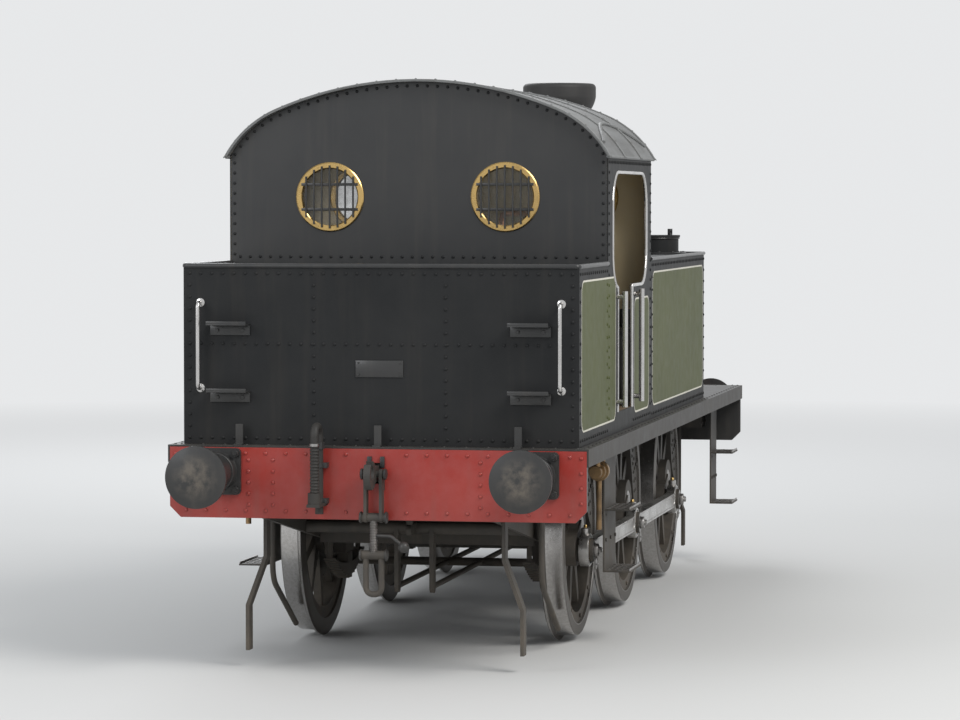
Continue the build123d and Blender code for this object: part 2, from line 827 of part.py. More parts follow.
# Brake pipes: a standpipe at each end, bent over, with its end held on a bracket
pipe_y = 300
pipe_radius = 22
pipe_x = beam_face + 45
pipe_reach = 110
pipe_low = rail_z + 832
pipe_high = rail_z + 1302
dummy_z = rail_z + 902
with BuildPart() as brake_pipes:
    with BuildLine() as route:
        FilletPolyline(
            (pipe_x, pipe_y, pipe_low),
            (pipe_x, pipe_y, pipe_high),
            (pipe_x + pipe_reach, pipe_y, pipe_high),
            (pipe_x + pipe_reach, pipe_y, dummy_z),
            radius=pipe_reach / 2 - 2,
        )
    with BuildSketch(Plane.XY.offset(pipe_low)):
        with Locations((pipe_x, pipe_y)):
            Circle(pipe_radius)
    sweep(path=route.wires()[0])
    with BuildSketch(Plane.XY.offset(dummy_z - 10)):
        with Locations((pipe_x + pipe_reach, pipe_y)):
            Circle(pipe_radius + 14)
    extrude(amount=60)
    with BuildSketch(Plane.XY.offset(dummy_z - 25)):
        with Locations((beam_face + (pipe_x + pipe_reach + 40 - beam_face) / 2, pipe_y)):
            Rectangle(pipe_x + pipe_reach + 40 - beam_face, 70)
    extrude(amount=16)
    mirror(about=Plane.YZ)
pieces["brake_pipes"] = brake_pipes

# Guard irons, bent outwards over the rails
guard_x = beam_inner - 240
guard_y = wheel_face_y - 58
guard_plate = 20
guard_clearance = 65
with BuildPart() as guard_irons:
    with BuildSketch(end_plane(guard_x)):
        with BuildLine():
            Polyline(
                (frame_outer, rail_z + 872),
                (frame_outer + guard_plate, rail_z + 872),
                (frame_outer + guard_plate, rail_z + 582),
                (guard_y + guard_plate / 2, rail_z + 312),
                (guard_y + guard_plate / 2, rail_z + guard_clearance),
                (guard_y - guard_plate / 2, rail_z + guard_clearance),
                (guard_y - guard_plate / 2, rail_z + 304),
                (frame_outer, rail_z + 574),
                close=True,
            )
        make_face()
    extrude(amount=80)
    mirror(about=Plane.XZ)
    mirror(about=Plane.YZ)
pieces["guard_irons"] = guard_irons

# Sandboxes below the running plate, ahead of the leading and behind the trailing wheels, with pipes
sandbox_size = (220, 285, 258)
sandbox_reach = 1001
sand_pipe_radius = 16
sand_pipe_bend = rail_z + 392
with BuildPart() as sandboxes:
    for axle, way in ((leading_x, 1), (trailing_x, -1)):
        sand_x = axle + way * sandbox_reach
        with BuildSketch(Plane.XY.offset(plate_under - sandbox_size[2])):
            with Locations((sand_x, frame_outer + sandbox_size[1] / 2)):
                Rectangle(sandbox_size[0], sandbox_size[1])
        extrude(amount=sandbox_size[2])
        with BuildLine() as sand_route:
            FilletPolyline(
                (sand_x, block_middle_y, plate_under - sandbox_size[2] + 20),
                (sand_x, block_middle_y, sand_pipe_bend),
                (axle + way * 450, block_middle_y, rail_z + 84),
                radius=150,
            )
        with BuildSketch(Plane.XY.offset(plate_under - sandbox_size[2] + 20)):
            with Locations((sand_x, block_middle_y)):
                Circle(sand_pipe_radius)
        sweep(path=sand_route.wires()[0])
    mirror(about=Plane.XZ)
pieces["sandboxes"] = sandboxes

# Footsteps: two treads on a back plate, at the cab doorways and at the front
step_back_y = wheel_face_y + 172
step_plate = 10
step_heights = (rail_z + 390, rail_z + 740)
front_step_x = beam_face - 419
with BuildPart() as footsteps:
    for middle, width in ((door_middle, 420), (front_step_x, 300)):
        with BuildSketch(side_plane(step_back_y + step_plate)):
            with Locations((middle, (step_heights[0] + plate_under) / 2)):
                Rectangle(width, plate_under - step_heights[0])
        extrude(amount=step_plate)
        for height in step_heights:
            with BuildSketch(Plane.XY.offset(height)):
                with Locations((middle, (step_back_y + plate_edge) / 2)):
                    Rectangle(width, plate_edge - step_back_y)
            extrude(amount=step_plate)
    mirror(about=Plane.XZ)
pieces["footsteps"] = footsteps

# Injectors on the outside of the frames below the cab, with pipes up to the running plate
injector_x = cab_rear + 130
injector_inset = 70
injector_y = tank_outer - injector_inset
injector_z = plate_under - 190
with BuildPart() as injectors:
    for length, radius in ((280, 34), (150, 46), (40, 58)):
        with BuildSketch(end_plane(injector_x - length / 2)):
            with Locations((injector_y, injector_z)):
                Circle(radius)
        extrude(amount=length)
    with BuildSketch(Plane.XY.offset(injector_z)):
        with Locations((injector_x - 90, injector_y), (injector_x + 90, injector_y)):
            Circle(20)
    extrude(amount=plate_under - injector_z)
    with BuildSketch(Plane.XY.offset(injector_z)):
        with Locations((injector_x, injector_y)):
            Circle(16)
    extrude(amount=-330)
    mirror(about=Plane.XZ)
pieces["injectors"] = injectors

# Smokebox: a shell with a thick front ring, closed behind by the tube plate and open to the chimney,
# with the blast pipe inside and the hinge lugs of its door on the ring
ring_thickness = 20
tube_plate = 20
blast_pipe_radius = 60
hinge_x = smokebox_front + 30
hinge_y = door_radius + 55
hinge_pin_radius = 12
knuckle_radius = 22
knuckle_height = 54
strap_heights = (boiler_z - 200, boiler_z + 200)
lug_thickness = 20
shell_inner = smokebox_radius - smokebox_plate
with BuildPart() as smokebox:
    with BuildSketch(end_plane(smokebox_rear)):
        with Locations((0, boiler_z)):
            Circle(smokebox_radius)
    extrude(amount=smokebox_length)
    front_edges = smokebox.edges().filter_by(GeomType.CIRCLE).group_by(Axis.X)[-1]
    fillet(front_edges, 16)
    with BuildSketch(end_plane(smokebox_rear + tube_plate)):
        with Locations((0, boiler_z)):
            Circle(shell_inner)
    extrude(amount=smokebox_length - tube_plate - ring_thickness, mode=Mode.SUBTRACT)
    with BuildSketch(end_plane(smokebox_front - ring_thickness)):
        with Locations((0, boiler_z)):
            Circle(door_opening)
    extrude(amount=ring_thickness, mode=Mode.SUBTRACT)
    with BuildSketch(Plane.XY.offset(boiler_z)):
        with Locations((chimney_x, 0)):
            Circle(chimney_bore)
    extrude(amount=smokebox_radius + 10, mode=Mode.SUBTRACT)
    with BuildSketch(Plane.XY.offset(boiler_z - shell_inner - 5)):
        with Locations((chimney_x, 0)):
            Circle(blast_pipe_radius)
    extrude(amount=shell_inner - 110)
    for strap_z in strap_heights:
        lug_low = strap_z - knuckle_height / 2 - end_play - lug_thickness
        for lug_z in (lug_low, strap_z + knuckle_height / 2 + end_play):
            with BuildSketch(Plane.XY.offset(lug_z)):
                with Locations(((smokebox_front + hinge_x) / 2, hinge_y)):
                    Rectangle(hinge_x - smokebox_front, 2 * knuckle_radius)
                with Locations((hinge_x, hinge_y)):
                    Circle(knuckle_radius)
            extrude(amount=lug_thickness)
        with BuildSketch(Plane.XY.offset(lug_low)):
            with Locations((hinge_x, hinge_y)):
                Circle(hinge_pin_radius)
        extrude(amount=knuckle_height + 2 * (end_play + lug_thickness))
pieces["smokebox"] = smokebox

# Smokebox door: a dished plate with two hinge straps and the dart handles
door_back = smokebox_front + seat_gap
door_plate = 10
dish_chord = door_radius - 50
dish_depth = 70
dish_radius = (dish_chord**2 + dish_depth**2) / (2 * dish_depth)
door_face = door_back + door_plate
strap_tip = 230
strap_thickness = 14
strap_sink = 4
strap_root = 340


def dish(distance):
    """How far the door's dish stands out at a distance from its centre."""
    return sqrt(dish_radius**2 - distance**2) - (dish_radius - dish_depth)


def strap_point(y, height, sink):
    """A point on a hinge strap that follows the dish, seen from above."""
    return door_face + max(dish(sqrt(y**2 + height**2)), 0) + sink, y


with BuildPart() as smokebox_door:
    with BuildSketch(side_plane(0)):
        with BuildLine():
            Polyline(
                (door_back, boiler_z + dish_chord),
                (door_back, boiler_z + door_radius),
                (door_face, boiler_z + door_radius),
                (door_face, boiler_z + dish_chord),
            )
            ThreePointArc(
                (door_face, boiler_z + dish_chord),
                (door_face + dish(dish_chord / 2), boiler_z + dish_chord / 2),
                (door_face + dish_depth, boiler_z),
            )
            Line((door_face + dish_depth, boiler_z), (door_back + dish_depth, boiler_z))
            ThreePointArc(
                (door_back + dish_depth, boiler_z),
                (door_back + dish(dish_chord / 2), boiler_z + dish_chord / 2),
                (door_back, boiler_z + dish_chord),
            )
        make_face()
    revolve(axis=Axis((0, 0, boiler_z), (1, 0, 0)))
    for strap_z in strap_heights:
        reach = strap_z - boiler_z
        with BuildSketch(Plane.XY.offset(strap_z - knuckle_height / 2)):
            with BuildLine():
                ThreePointArc(
                    strap_point(-strap_tip, reach, strap_thickness),
                    strap_point(60, reach, strap_thickness),
                    strap_point(strap_root, reach, strap_thickness),
                )
                Polyline(
                    strap_point(strap_root, reach, strap_thickness),
                    (hinge_x + 7, hinge_y),
                    (hinge_x - 7, hinge_y),
                    strap_point(strap_root, reach, -strap_sink),
                )
                ThreePointArc(
                    strap_point(strap_root, reach, -strap_sink),
                    strap_point(60, reach, -strap_sink),
                    strap_point(-strap_tip, reach, -strap_sink),
                )
                Line(
                    strap_point(-strap_tip, reach, -strap_sink),
                    strap_point(-strap_tip, reach, strap_thickness),
                )
            make_face()
            with Locations((hinge_x, hinge_y)):
                Circle(knuckle_radius)
                Circle(hinge_pin_radius + running_gap, mode=Mode.SUBTRACT)
        extrude(amount=knuckle_height)
    with BuildSketch(end_plane(door_face + dish_depth - 6)):
        with Locations((0, boiler_z)):
            Circle(45)
    extrude(amount=36)
    with BuildSketch(end_plane(door_face + dish_depth + 25)):
        with Locations((0, boiler_z)):
            Circle(16)
    extrude(amount=60)
    for start, turn in ((door_face + dish_depth + 38, 60), (door_face + dish_depth + 64, 125)):
        with BuildSketch(end_plane(start)):
            with Locations((0, boiler_z)):
                with PolarLocations(80, 1, start_angle=turn):
                    SlotOverall(220, 22)
        extrude(amount=18)
pieces["smokebox_door"] = smokebox_door

# Saddle that carries the smokebox on the running plate, over the cylinders
saddle_foot = 560
saddle_lip = 500
saddle_top = boiler_z - 338
with BuildPart() as smokebox_saddle:
    with BuildSketch(end_plane(saddle_rear)):
        with BuildLine():
            Polyline(
                (-saddle_foot, plate_top),
                (saddle_foot, plate_top),
                (saddle_lip, saddle_top),
                (-saddle_lip, saddle_top),
                close=True,
            )
        make_face()
        with Locations((0, boiler_z)):
            Circle(smokebox_radius + seat_gap, mode=Mode.SUBTRACT)
    extrude(amount=saddle_front - saddle_rear)
pieces["smokebox_saddle"] = smokebox_saddle

# Boiler barrel in its lagging, with the bands that hold the sheets
dome_foot = 340
dome_margin = dome_foot + 60
band_places = (
    firebox_front + 60,
    (firebox_front + dome_x - dome_margin) / 2,
    dome_x - dome_margin,
    dome_x + dome_margin,
    tank_front - 170,
    smokebox_rear - 45,
)
with BuildPart() as boiler:
    with BuildSketch(end_plane(firebox_front)):
        with Locations((0, boiler_z)):
            Circle(barrel_radius)
    extrude(amount=smokebox_rear - firebox_front)
    for place in band_places:
        with BuildSketch(end_plane(place - band_width / 2)):
            with Locations((0, boiler_z)):
                Circle(barrel_radius + band_thickness)
        extrude(amount=band_width)
pieces["boiler"] = boiler

# Firebox: a round-topped wrapper between the frames, on expansion brackets
bracket_size = (80, 60)
bracket_z = plate_under - 98
with BuildPart() as firebox:
    with BuildSketch(end_plane(firebox_rear)):
        with Locations((0, boiler_z)):
            Circle(firebox_radius)
        with Locations((0, (firebox_bottom + boiler_z) / 2)):
            Rectangle(2 * firebox_radius, boiler_z - firebox_bottom)
    extrude(amount=firebox_front - firebox_rear)
    with BuildSketch(side_plane(frame_inner)):
        for place in (firebox_front - 300, firebox_rear + 300):
            with Locations((place, bracket_z)):
                Rectangle(*bracket_size)
    extrude(amount=frame_spacing)
pieces["firebox"] = firebox

# Ashpan below the firebox
ashpan_inset = 30
ashpan_half = firebox_radius - 130
with BuildPart() as ashpan:
    with BuildSketch(side_plane(ashpan_half)):
        with BuildLine():
            Polyline(
                (firebox_front - ashpan_inset, firebox_bottom),
                (firebox_rear + ashpan_inset, firebox_bottom),
                (firebox_rear + ashpan_inset, firebox_bottom - 160),
                (firebox_rear + 420, firebox_bottom - 300),
                (firebox_front - 60, firebox_bottom - 300),
                (firebox_front - ashpan_inset, firebox_bottom - 160),
                close=True,
            )
        make_face()
    extrude(amount=2 * ashpan_half)
pieces["ashpan"] = ashpan

# Chimney: a flared foot on a saddle flange, a slight taper and a rolled lip
chimney_waist = 195
chimney_lip = 250
chimney_foot = 330
chimney_flange_radius = 320
with BuildPart() as chimney:
    with BuildSketch(Plane.XY.offset(boiler_z)):
        with Locations((chimney_x, 0)):
            Circle(chimney_flange_radius)
    extrude(amount=smokebox_radius + 40)
    with BuildSketch(end_plane(chimney_x - 400)):
        with Locations((0, boiler_z)):
            Circle(smokebox_radius + 14)
    extrude(amount=800, mode=Mode.INTERSECT)
    with BuildSketch(upright_plane(chimney_x, 0)):
        with BuildLine():
            Line((chimney_bore, smokebox_top - 78), (chimney_foot, smokebox_top - 78))
            ThreePointArc(
                (chimney_foot, smokebox_top - 78),
                (chimney_waist + 33, smokebox_top + 32),
                (chimney_waist, smokebox_top + 150),
            )
            Line((chimney_waist, smokebox_top + 150), (chimney_waist + 12, chimney_top - 190))
            ThreePointArc(
                (chimney_waist + 12, chimney_top - 190),
                (chimney_lip - 10, chimney_top - 130),
                (chimney_lip, chimney_top - 90),
            )
            Line((chimney_lip, chimney_top - 90), (chimney_lip, chimney_top - 30))
            ThreePointArc(
                (chimney_lip, chimney_top - 30),
                (chimney_lip - 9, chimney_top - 9),
                (chimney_lip - 30, chimney_top),
            )
            Polyline(
                (chimney_lip - 30, chimney_top),
                (chimney_bore, chimney_top),
                (chimney_bore, smokebox_top - 78),
            )
        make_face()
    revolve(axis=Axis((chimney_x, 0, 0), (0, 0, 1)))
    with BuildSketch(Plane.XY.offset(boiler_z)):
        with Locations((chimney_x, 0)):
            Circle(chimney_bore)
    extrude(amount=smokebox_radius + 60, mode=Mode.SUBTRACT)
    with BuildSketch(end_plane(chimney_x - 400)):
        with Locations((0, boiler_z)):
            Circle(smokebox_radius + seat_gap)
    extrude(amount=800, mode=Mode.SUBTRACT)
pieces["chimney"] = chimney

# Dome: a round-topped casing flared on to the barrel
dome_radius = 250
dome_top = barrel_top + dome_height
with BuildPart() as dome:
    with BuildSketch(upright_plane(dome_x, 0)):
        with BuildLine():
            Line((0, barrel_top - 138), (dome_foot, barrel_top - 138))
            ThreePointArc(
                (dome_foot, barrel_top - 138),
                (dome_radius + 20, barrel_top - 33),
                (dome_radius, barrel_top + 77),
            )
            Line((dome_radius, barrel_top + 77), (dome_radius, dome_top - dome_radius))
            ThreePointArc(
                (dome_radius, dome_top - dome_radius),
                (dome_radius * sin(radians(45)), dome_top - dome_radius * (1 - cos(radians(45)))),
                (0, dome_top),
            )
            Line((0, dome_top), (0, barrel_top - 138))
        make_face()
    revolve(axis=Axis((dome_x, 0, 0), (0, 0, 1)))
    with BuildSketch(end_plane(dome_x - 400)):
        with Locations((0, boiler_z)):
            Circle(barrel_radius + seat_gap)
    extrude(amount=800, mode=Mode.SUBTRACT)
pieces["dome"] = dome

# Safety valves: two columns on one base, with the lever and spring between them
column_reach = 95
with BuildPart() as safety_valves:
    with BuildSketch(Plane.XY.offset(firebox_top - 40)):
        with Locations((valve_x, 0)):
            Circle(150)
    extrude(amount=90)
    with BuildSketch(Plane.XY.offset(firebox_top + 50)):
        with Locations((valve_x - column_reach, 0), (valve_x + column_reach, 0)):
            Circle(40)
    extrude(amount=210)
    with BuildSketch(Plane.XY.offset(firebox_top + 260)):
        with Locations((valve_x - column_reach, 0), (valve_x + column_reach, 0)):
            Circle(52)
    extrude(amount=34)
    with BuildSketch(Plane.XY.offset(firebox_top + 50)):
        with Locations((valve_x, 0)):
            Circle(26)
    extrude(amount=250)
    with BuildSketch(Plane.XY.offset(firebox_top + 294)):
        with Locations((valve_x, 0)):
            Rectangle(330, 22)
    extrude(amount=24)
    with BuildSketch(end_plane(valve_x - 200)):
        with Locations((0, boiler_z)):
            Circle(firebox_radius + seat_gap)
    extrude(amount=400, mode=Mode.SUBTRACT)
pieces["safety_valves"] = safety_valves

# Whistle on the firebox, just ahead of the cab
whistle_x = cab_front + 60
whistle_y = 110
with BuildPart() as whistle:
    for bottom, top, radius in ((-30, 30, 30), (30, 130, 14), (130, 270, 34), (270, 285, 12)):
        with BuildSketch(Plane.XY.offset(firebox_top + bottom)):
            with Locations((whistle_x, whistle_y)):
                Circle(radius)
        extrude(amount=top - bottom)
    with BuildSketch(end_plane(whistle_x - 60)):
        with Locations((0, boiler_z)):
            Circle(firebox_radius + seat_gap)
    extrude(amount=120, mode=Mode.SUBTRACT)
pieces["whistle"] = whistle

# Clack valves on the barrel ahead of the tanks, each with its feed pipe down to the running plate
clack_x = (tank_front + smokebox_rear) / 2
clack_z = boiler_z + 90
feed_y = frame_inner - 5
with BuildPart() as clack_valves:
    with BuildSketch(side_plane(feed_y + 30)):
        with Locations((clack_x, clack_z)):
            Circle(42)
    extrude(amount=feed_y + 30 - barrel_radius + 20)
    with BuildSketch(Plane.XY.offset(clack_z - 70)):
        with Locations((clack_x, feed_y)):
            Circle(30)
    extrude(amount=140)
    with BuildSketch(Plane.XY.offset(plate_top)):
        with Locations((clack_x, feed_y)):
            Circle(20)
    extrude(amount=clack_z - plate_top)
    with BuildSketch(Plane.XY.offset(plate_top)):
        with Locations((clack_x, feed_y)):
            Circle(29)
    extrude(amount=8)
    with BuildSketch(end_plane(clack_x - 100)):
        with Locations((0, boiler_z)):
            Circle(barrel_radius + seat_gap)
    extrude(amount=200, mode=Mode.SUBTRACT)
    mirror(about=Plane.XZ)
pieces["clack_valves"] = clack_valves

# Side tanks, hollowed over the wheels and under the fillers
filler_bore = filler_radius - filler_wall
filler_well = 250
with BuildPart() as side_tanks:
    with BuildSketch(side_plane(tank_outer)):
        with Locations(((tank_front + cab_front) / 2, (plate_top + tank_top) / 2)):
            Rectangle(tank_length, tank_height)
    extrude(amount=tank_outer - tank_inner)
    fillet(side_tanks.edges().filter_by(Axis.Z).group_by(Axis.X)[-1], 25)
    with BuildSketch(side_plane(wheel_slot_outer)):
        with Locations((leading_x, axle_z), (driving_x, axle_z)):
            Circle(wheel_cover_radius)
    extrude(amount=wheel_slot_width, mode=Mode.SUBTRACT)
    with BuildSketch(Plane.XY.offset(tank_top)):
        with Locations((filler_x, filler_y)):
            Circle(filler_bore)
    extrude(amount=-filler_well, mode=Mode.SUBTRACT)
    mirror(about=Plane.XZ)
pieces["side_tanks"] = side_tanks

# Filler necks, with the two lugs and the pin of each lid's hinge on the side next to the boiler
lid_hinge_reach = filler_radius + 35
lid_thickness = 14
lid_radius = filler_radius + 10
lid_hinge_y = filler_y - lid_hinge_reach
lid_hinge_z = filler_top + seat_gap + lid_thickness / 2
lid_pin_radius = 8
lid_knuckle_radius = 15
lid_knuckle_half = 29
lid_lug = 18
with BuildPart() as filler_necks:
    with BuildSketch(Plane.XY.offset(tank_top)):
        with Locations((filler_x, filler_y)):
            Circle(filler_radius)
    extrude(amount=filler_height)
    for end in (1, -1):
        lug_x = filler_x + end * (lid_knuckle_half + end_play + lid_lug / 2)
        with BuildSketch(end_plane(lug_x - lid_lug / 2)):
            with BuildLine():
                Polyline(
                    (filler_y - filler_radius + 20, filler_top - 4),
                    (filler_y - filler_radius + 20, filler_top - 60),
                    (lid_hinge_y - lid_knuckle_radius, lid_hinge_z - 20),
                    (lid_hinge_y - lid_knuckle_radius, filler_top - 4),
                    close=True,
                )
            make_face()
            with Locations((lid_hinge_y, lid_hinge_z)):
                Circle(lid_knuckle_radius)
        extrude(amount=lid_lug)
    with BuildSketch(end_plane(filler_x - lid_knuckle_half - lid_lug)):
        with Locations((lid_hinge_y, lid_hinge_z)):
            Circle(lid_pin_radius)
    extrude(amount=2 * (lid_knuckle_half + lid_lug))
    with BuildSketch(Plane.XY.offset(tank_top)):
        with Locations((filler_x, filler_y)):
            Circle(filler_bore)
    extrude(amount=filler_height, mode=Mode.SUBTRACT)
    mirror(about=Plane.XZ)
pieces["filler_necks"] = filler_necks

# Filler lids, each with a knuckle on its pin and a lifting handle
for side, word in ((1, "left"), (-1, "right")):
    with BuildPart() as lid:
        with BuildSketch(Plane.XY.offset(filler_top + seat_gap)):
            with Locations((filler_x, side * filler_y)):
                Circle(lid_radius)
            with Locations((filler_x, side * (filler_y - lid_hinge_reach / 2 - 10))):
                Rectangle(2 * lid_knuckle_half, lid_hinge_reach - 20)
        extrude(amount=lid_thickness)
        with BuildSketch(end_plane(filler_x - lid_knuckle_half)):
            with Locations((side * lid_hinge_y, lid_hinge_z)):
                Circle(lid_knuckle_radius)
        extrude(amount=2 * lid_knuckle_half)
        with BuildSketch(end_plane(filler_x - lid_knuckle_half)):
            with Locations((side * lid_hinge_y, lid_hinge_z)):
                Circle(lid_pin_radius + running_gap)
        extrude(amount=2 * lid_knuckle_half, mode=Mode.SUBTRACT)
        with BuildSketch(side_plane(side * (filler_y + 95) + 8)):
            with Locations((filler_x, filler_top + lid_thickness + 20)):
                Rectangle(120, 42)
                Rectangle(88, 20, mode=Mode.SUBTRACT)
        extrude(amount=16)
    pieces[f"filler_lid_{word}"] = lid

# Splashers over the leading wheels, ahead of the tanks
with BuildPart() as splashers:
    with BuildSketch(side_plane(wheel_slot_outer + sheet)):
        with Locations((leading_x, axle_z)):
            Circle(wheel_cover_radius + sheet)
        with Locations((tank_front, plate_top)):
            cover = 2 * wheel_cover_radius
            Rectangle(cover, cover, align=(Align.MIN, Align.MIN), mode=Mode.INTERSECT)
    extrude(amount=wheel_slot_width + 2 * sheet)
    with BuildSketch(side_plane(wheel_slot_outer)):
        with Locations((leading_x, axle_z)):
            Circle(wheel_cover_radius)
    extrude(amount=wheel_slot_width, mode=Mode.SUBTRACT)
    mirror(about=Plane.XZ)
pieces["splashers"] = splashers

# The roof's section: a flat crown between two tighter shoulders, all tangent
crown_radius = (roof_crown_half**2 + roof_crown_rise**2) / (2 * roof_crown_rise)
crown_angle = asin(roof_crown_half / crown_radius)
crown_centre_z = roof_top - crown_radius
shoulder_y = roof_crown_half - roof_shoulder_radius * sin(crown_angle)
shoulder_z = crown_centre_z + (crown_radius - roof_shoulder_radius) * cos(crown_angle)
eave_y = tank_outer + roof_overhang


def shoulder_point(side, radius, angle):
    """A point on one of the roof's shoulders."""
    return side * (shoulder_y + radius * sin(angle)), shoulder_z + radius * cos(angle)


def roof_line(depth, edge):
    """The roof's arcs at a depth below its top, from one edge to the other. Returns their ends."""
    shoulder = roof_shoulder_radius - depth
    edge_angle = asin((edge - shoulder_y) / shoulder)
    middle_angle = (edge_angle + crown_angle) / 2
    ends = []
    for side in (1, -1):
        ThreePointArc(
            shoulder_point(side, shoulder, crown_angle),
            shoulder_point(side, shoulder, middle_angle),
            shoulder_point(side, shoulder, edge_angle),
        )
        ends.append(shoulder_point(side, shoulder, edge_angle))
    ThreePointArc(
        shoulder_point(1, shoulder, crown_angle),
        (0, roof_top - depth),
        shoulder_point(-1, shoulder, crown_angle),
    )
    return ends


with BuildPart() as cab_roof:
    with BuildSketch(end_plane(cab_rear - roof_end_overhang)):
        with BuildLine():
            upper = roof_line(0, eave_y)
            lower = roof_line(sheet, eave_y)
            Line(upper[0], lower[0])
            Line(upper[1], lower[1])
        make_face()
    extrude(amount=cab_length + 2 * roof_end_overhang)
pieces["cab_roof"] = cab_roof

# Cab sides, each with the doorway and the opening above the waist in one cut
under_radius = roof_shoulder_radius - sheet
side_angle = asin((tank_outer - shoulder_y) / under_radius)
side_top = shoulder_point(1, under_radius, side_angle)[1]
opening_front = cab_front - opening_front_pillar
opening_rear = cab_rear + opening_rear_pillar
with BuildPart() as cab_sides:
    with BuildSketch(side_plane(tank_outer)):
        with Locations(((cab_front + cab_rear) / 2, (plate_top + side_top - seat_gap) / 2)):
            Rectangle(cab_length, side_top - seat_gap - plate_top)
        with Locations(((opening_front + opening_rear) / 2, waist_z + opening_height / 2)):
            opening_length = opening_front - opening_rear
            RectangleRounded(opening_length, opening_height, opening_corner, mode=Mode.SUBTRACT)
        with Locations((door_middle, (floor_top + waist_z + 40) / 2)):
            Rectangle(doorway_width, waist_z + 40 - floor_top, mode=Mode.SUBTRACT)
    extrude(amount=sheet)
    mirror(about=Plane.XZ)
pieces["cab_sides"] = cab_sides

# Cab front, cut round the firebox, with two round windows
front_gap = 3
with BuildPart() as cab_front_plate:
    with BuildSketch(end_plane(cab_front - sheet)):
        with BuildLine():
            ends = roof_line(sheet + seat_gap, side_inner)
            Polyline(ends[0], (side_inner, plate_top), (-side_inner, plate_top), ends[1])
        make_face()
        with Locations((0, boiler_z)):
            Circle(firebox_radius + front_gap, mode=Mode.SUBTRACT)
        with Locations((0, (plate_top + boiler_z) / 2)):
            Rectangle(2 * (firebox_radius + front_gap), boiler_z - plate_top, mode=Mode.SUBTRACT)
        with Locations((front_window_y, window_z), (-front_window_y, window_z)):
            Circle(window_radius, mode=Mode.SUBTRACT)
    extrude(amount=sheet)
pieces["cab_front"] = cab_front_plate

# Cab back, with two round windows above the bunker and the hole that coal is drawn through
coal_hole = (420, 400)
coal_z = plate_top + coal_floor
with BuildPart() as cab_back_plate:
    with BuildSketch(end_plane(cab_rear)):
        with BuildLine():
            ends = roof_line(sheet + seat_gap, side_inner)
            Polyline(ends[0], (side_inner, plate_top), (-side_inner, plate_top), ends[1])
        make_face()
        with Locations((rear_window_y, window_z), (-rear_window_y, window_z)):
            Circle(window_radius, mode=Mode.SUBTRACT)
        with Locations((0, coal_z + coal_hole[1] / 2)):
            Rectangle(*coal_hole, mode=Mode.SUBTRACT)
    extrude(amount=sheet)
pieces["cab_back"] = cab_back_plate

# Cab floor of planks on four bearers, clear of the trailing wheels
floor_front = cab_front - sheet
floor_rear = cab_rear + sheet
floor_length = floor_front - floor_rear
floor_middle = (floor_front + floor_rear) / 2
bearer_width = 36
with BuildPart() as cab_floor:
    with BuildSketch(Plane.XY.offset(floor_top - floor_thickness)):
        with Locations((floor_middle, 0)):
            Rectangle(floor_length, 2 * side_inner)
        with Locations(((firebox_rear - 5 + floor_front) / 2, 0)):
            Rectangle(floor_front - firebox_rear + 5, 2 * (firebox_radius + 5), mode=Mode.SUBTRACT)
    extrude(amount=floor_thickness)
    with BuildSketch(Plane.XY.offset(plate_top)):
        for bearer_y in (wheel_slot_inner - 3 - bearer_width / 2, wheel_slot_outer + 10 + bearer_width / 2):
            with Locations((floor_middle, bearer_y), (floor_middle, -bearer_y)):
                Rectangle(floor_length, bearer_width)
    extrude(amount=floor_height - floor_thickness)
pieces["cab_floor"] = cab_floor

# Bunker: open on top, with a sloping coal floor over its water space
with BuildPart() as bunker:
    with BuildSketch(side_plane(tank_outer)):
        with Locations(((cab_rear + bunker_rear) / 2, (plate_top + tank_top) / 2)):
            Rectangle(bunker_length, tank_height)
    extrude(amount=tank_width)
    with BuildSketch(side_plane(side_inner)):
        with BuildLine():
            Polyline(
                (cab_rear + 1, coal_z),
                (bunker_rear + sheet, coal_z + coal_slope),
                (bunker_rear + sheet, tank_top + 1),
                (cab_rear + 1, tank_top + 1),
                close=True,
            )
        make_face()
    extrude(amount=2 * side_inner, mode=Mode.SUBTRACT)
pieces["bunker"] = bunker

# Fittings on the backhead: the firehole, regulator, two water gauges and two pressure gauges
firehole_z = boiler_z - 258
regulator_z = boiler_z + 302
water_gauge_z = boiler_z + 182
pressure_gauge_z = boiler_z + 432
firehole_frame = 24
regulator_stem = 60
gauge_reach = 190
with BuildPart() as backhead_fittings:
    with BuildSketch(end_plane(firebox_rear)):
        with Locations((0, firehole_z)):
            RectangleRounded(460, 340, 120)
    extrude(amount=-firehole_frame)
    with BuildSketch(end_plane(firebox_rear - firehole_frame)):
        with Locations((-95, firehole_z), (95, firehole_z)):
            RectangleRounded(180, 280, 60)
    extrude(amount=-16)
    with BuildSketch(end_plane(firebox_rear)):
        with Locations((0, regulator_z)):
            Circle(55)
    extrude(amount=-regulator_stem)
    with BuildSketch(end_plane(firebox_rear - regulator_stem)):
        with Locations((0, regulator_z)):
            SlotOverall(460, 34, rotation=40)
    extrude(amount=-18)
    for gauge_y in (gauge_reach, -gauge_reach):
        with BuildSketch(end_plane(firebox_rear)):
            with Locations((gauge_y, water_gauge_z)):
                Rectangle(44, 300)
        extrude(amount=-46)
        with BuildSketch(end_plane(firebox_rear)):
            with Locations((gauge_y, pressure_gauge_z)):
                Circle(70)
        extrude(amount=-52)
pieces["backhead_fittings"] = backhead_fittings

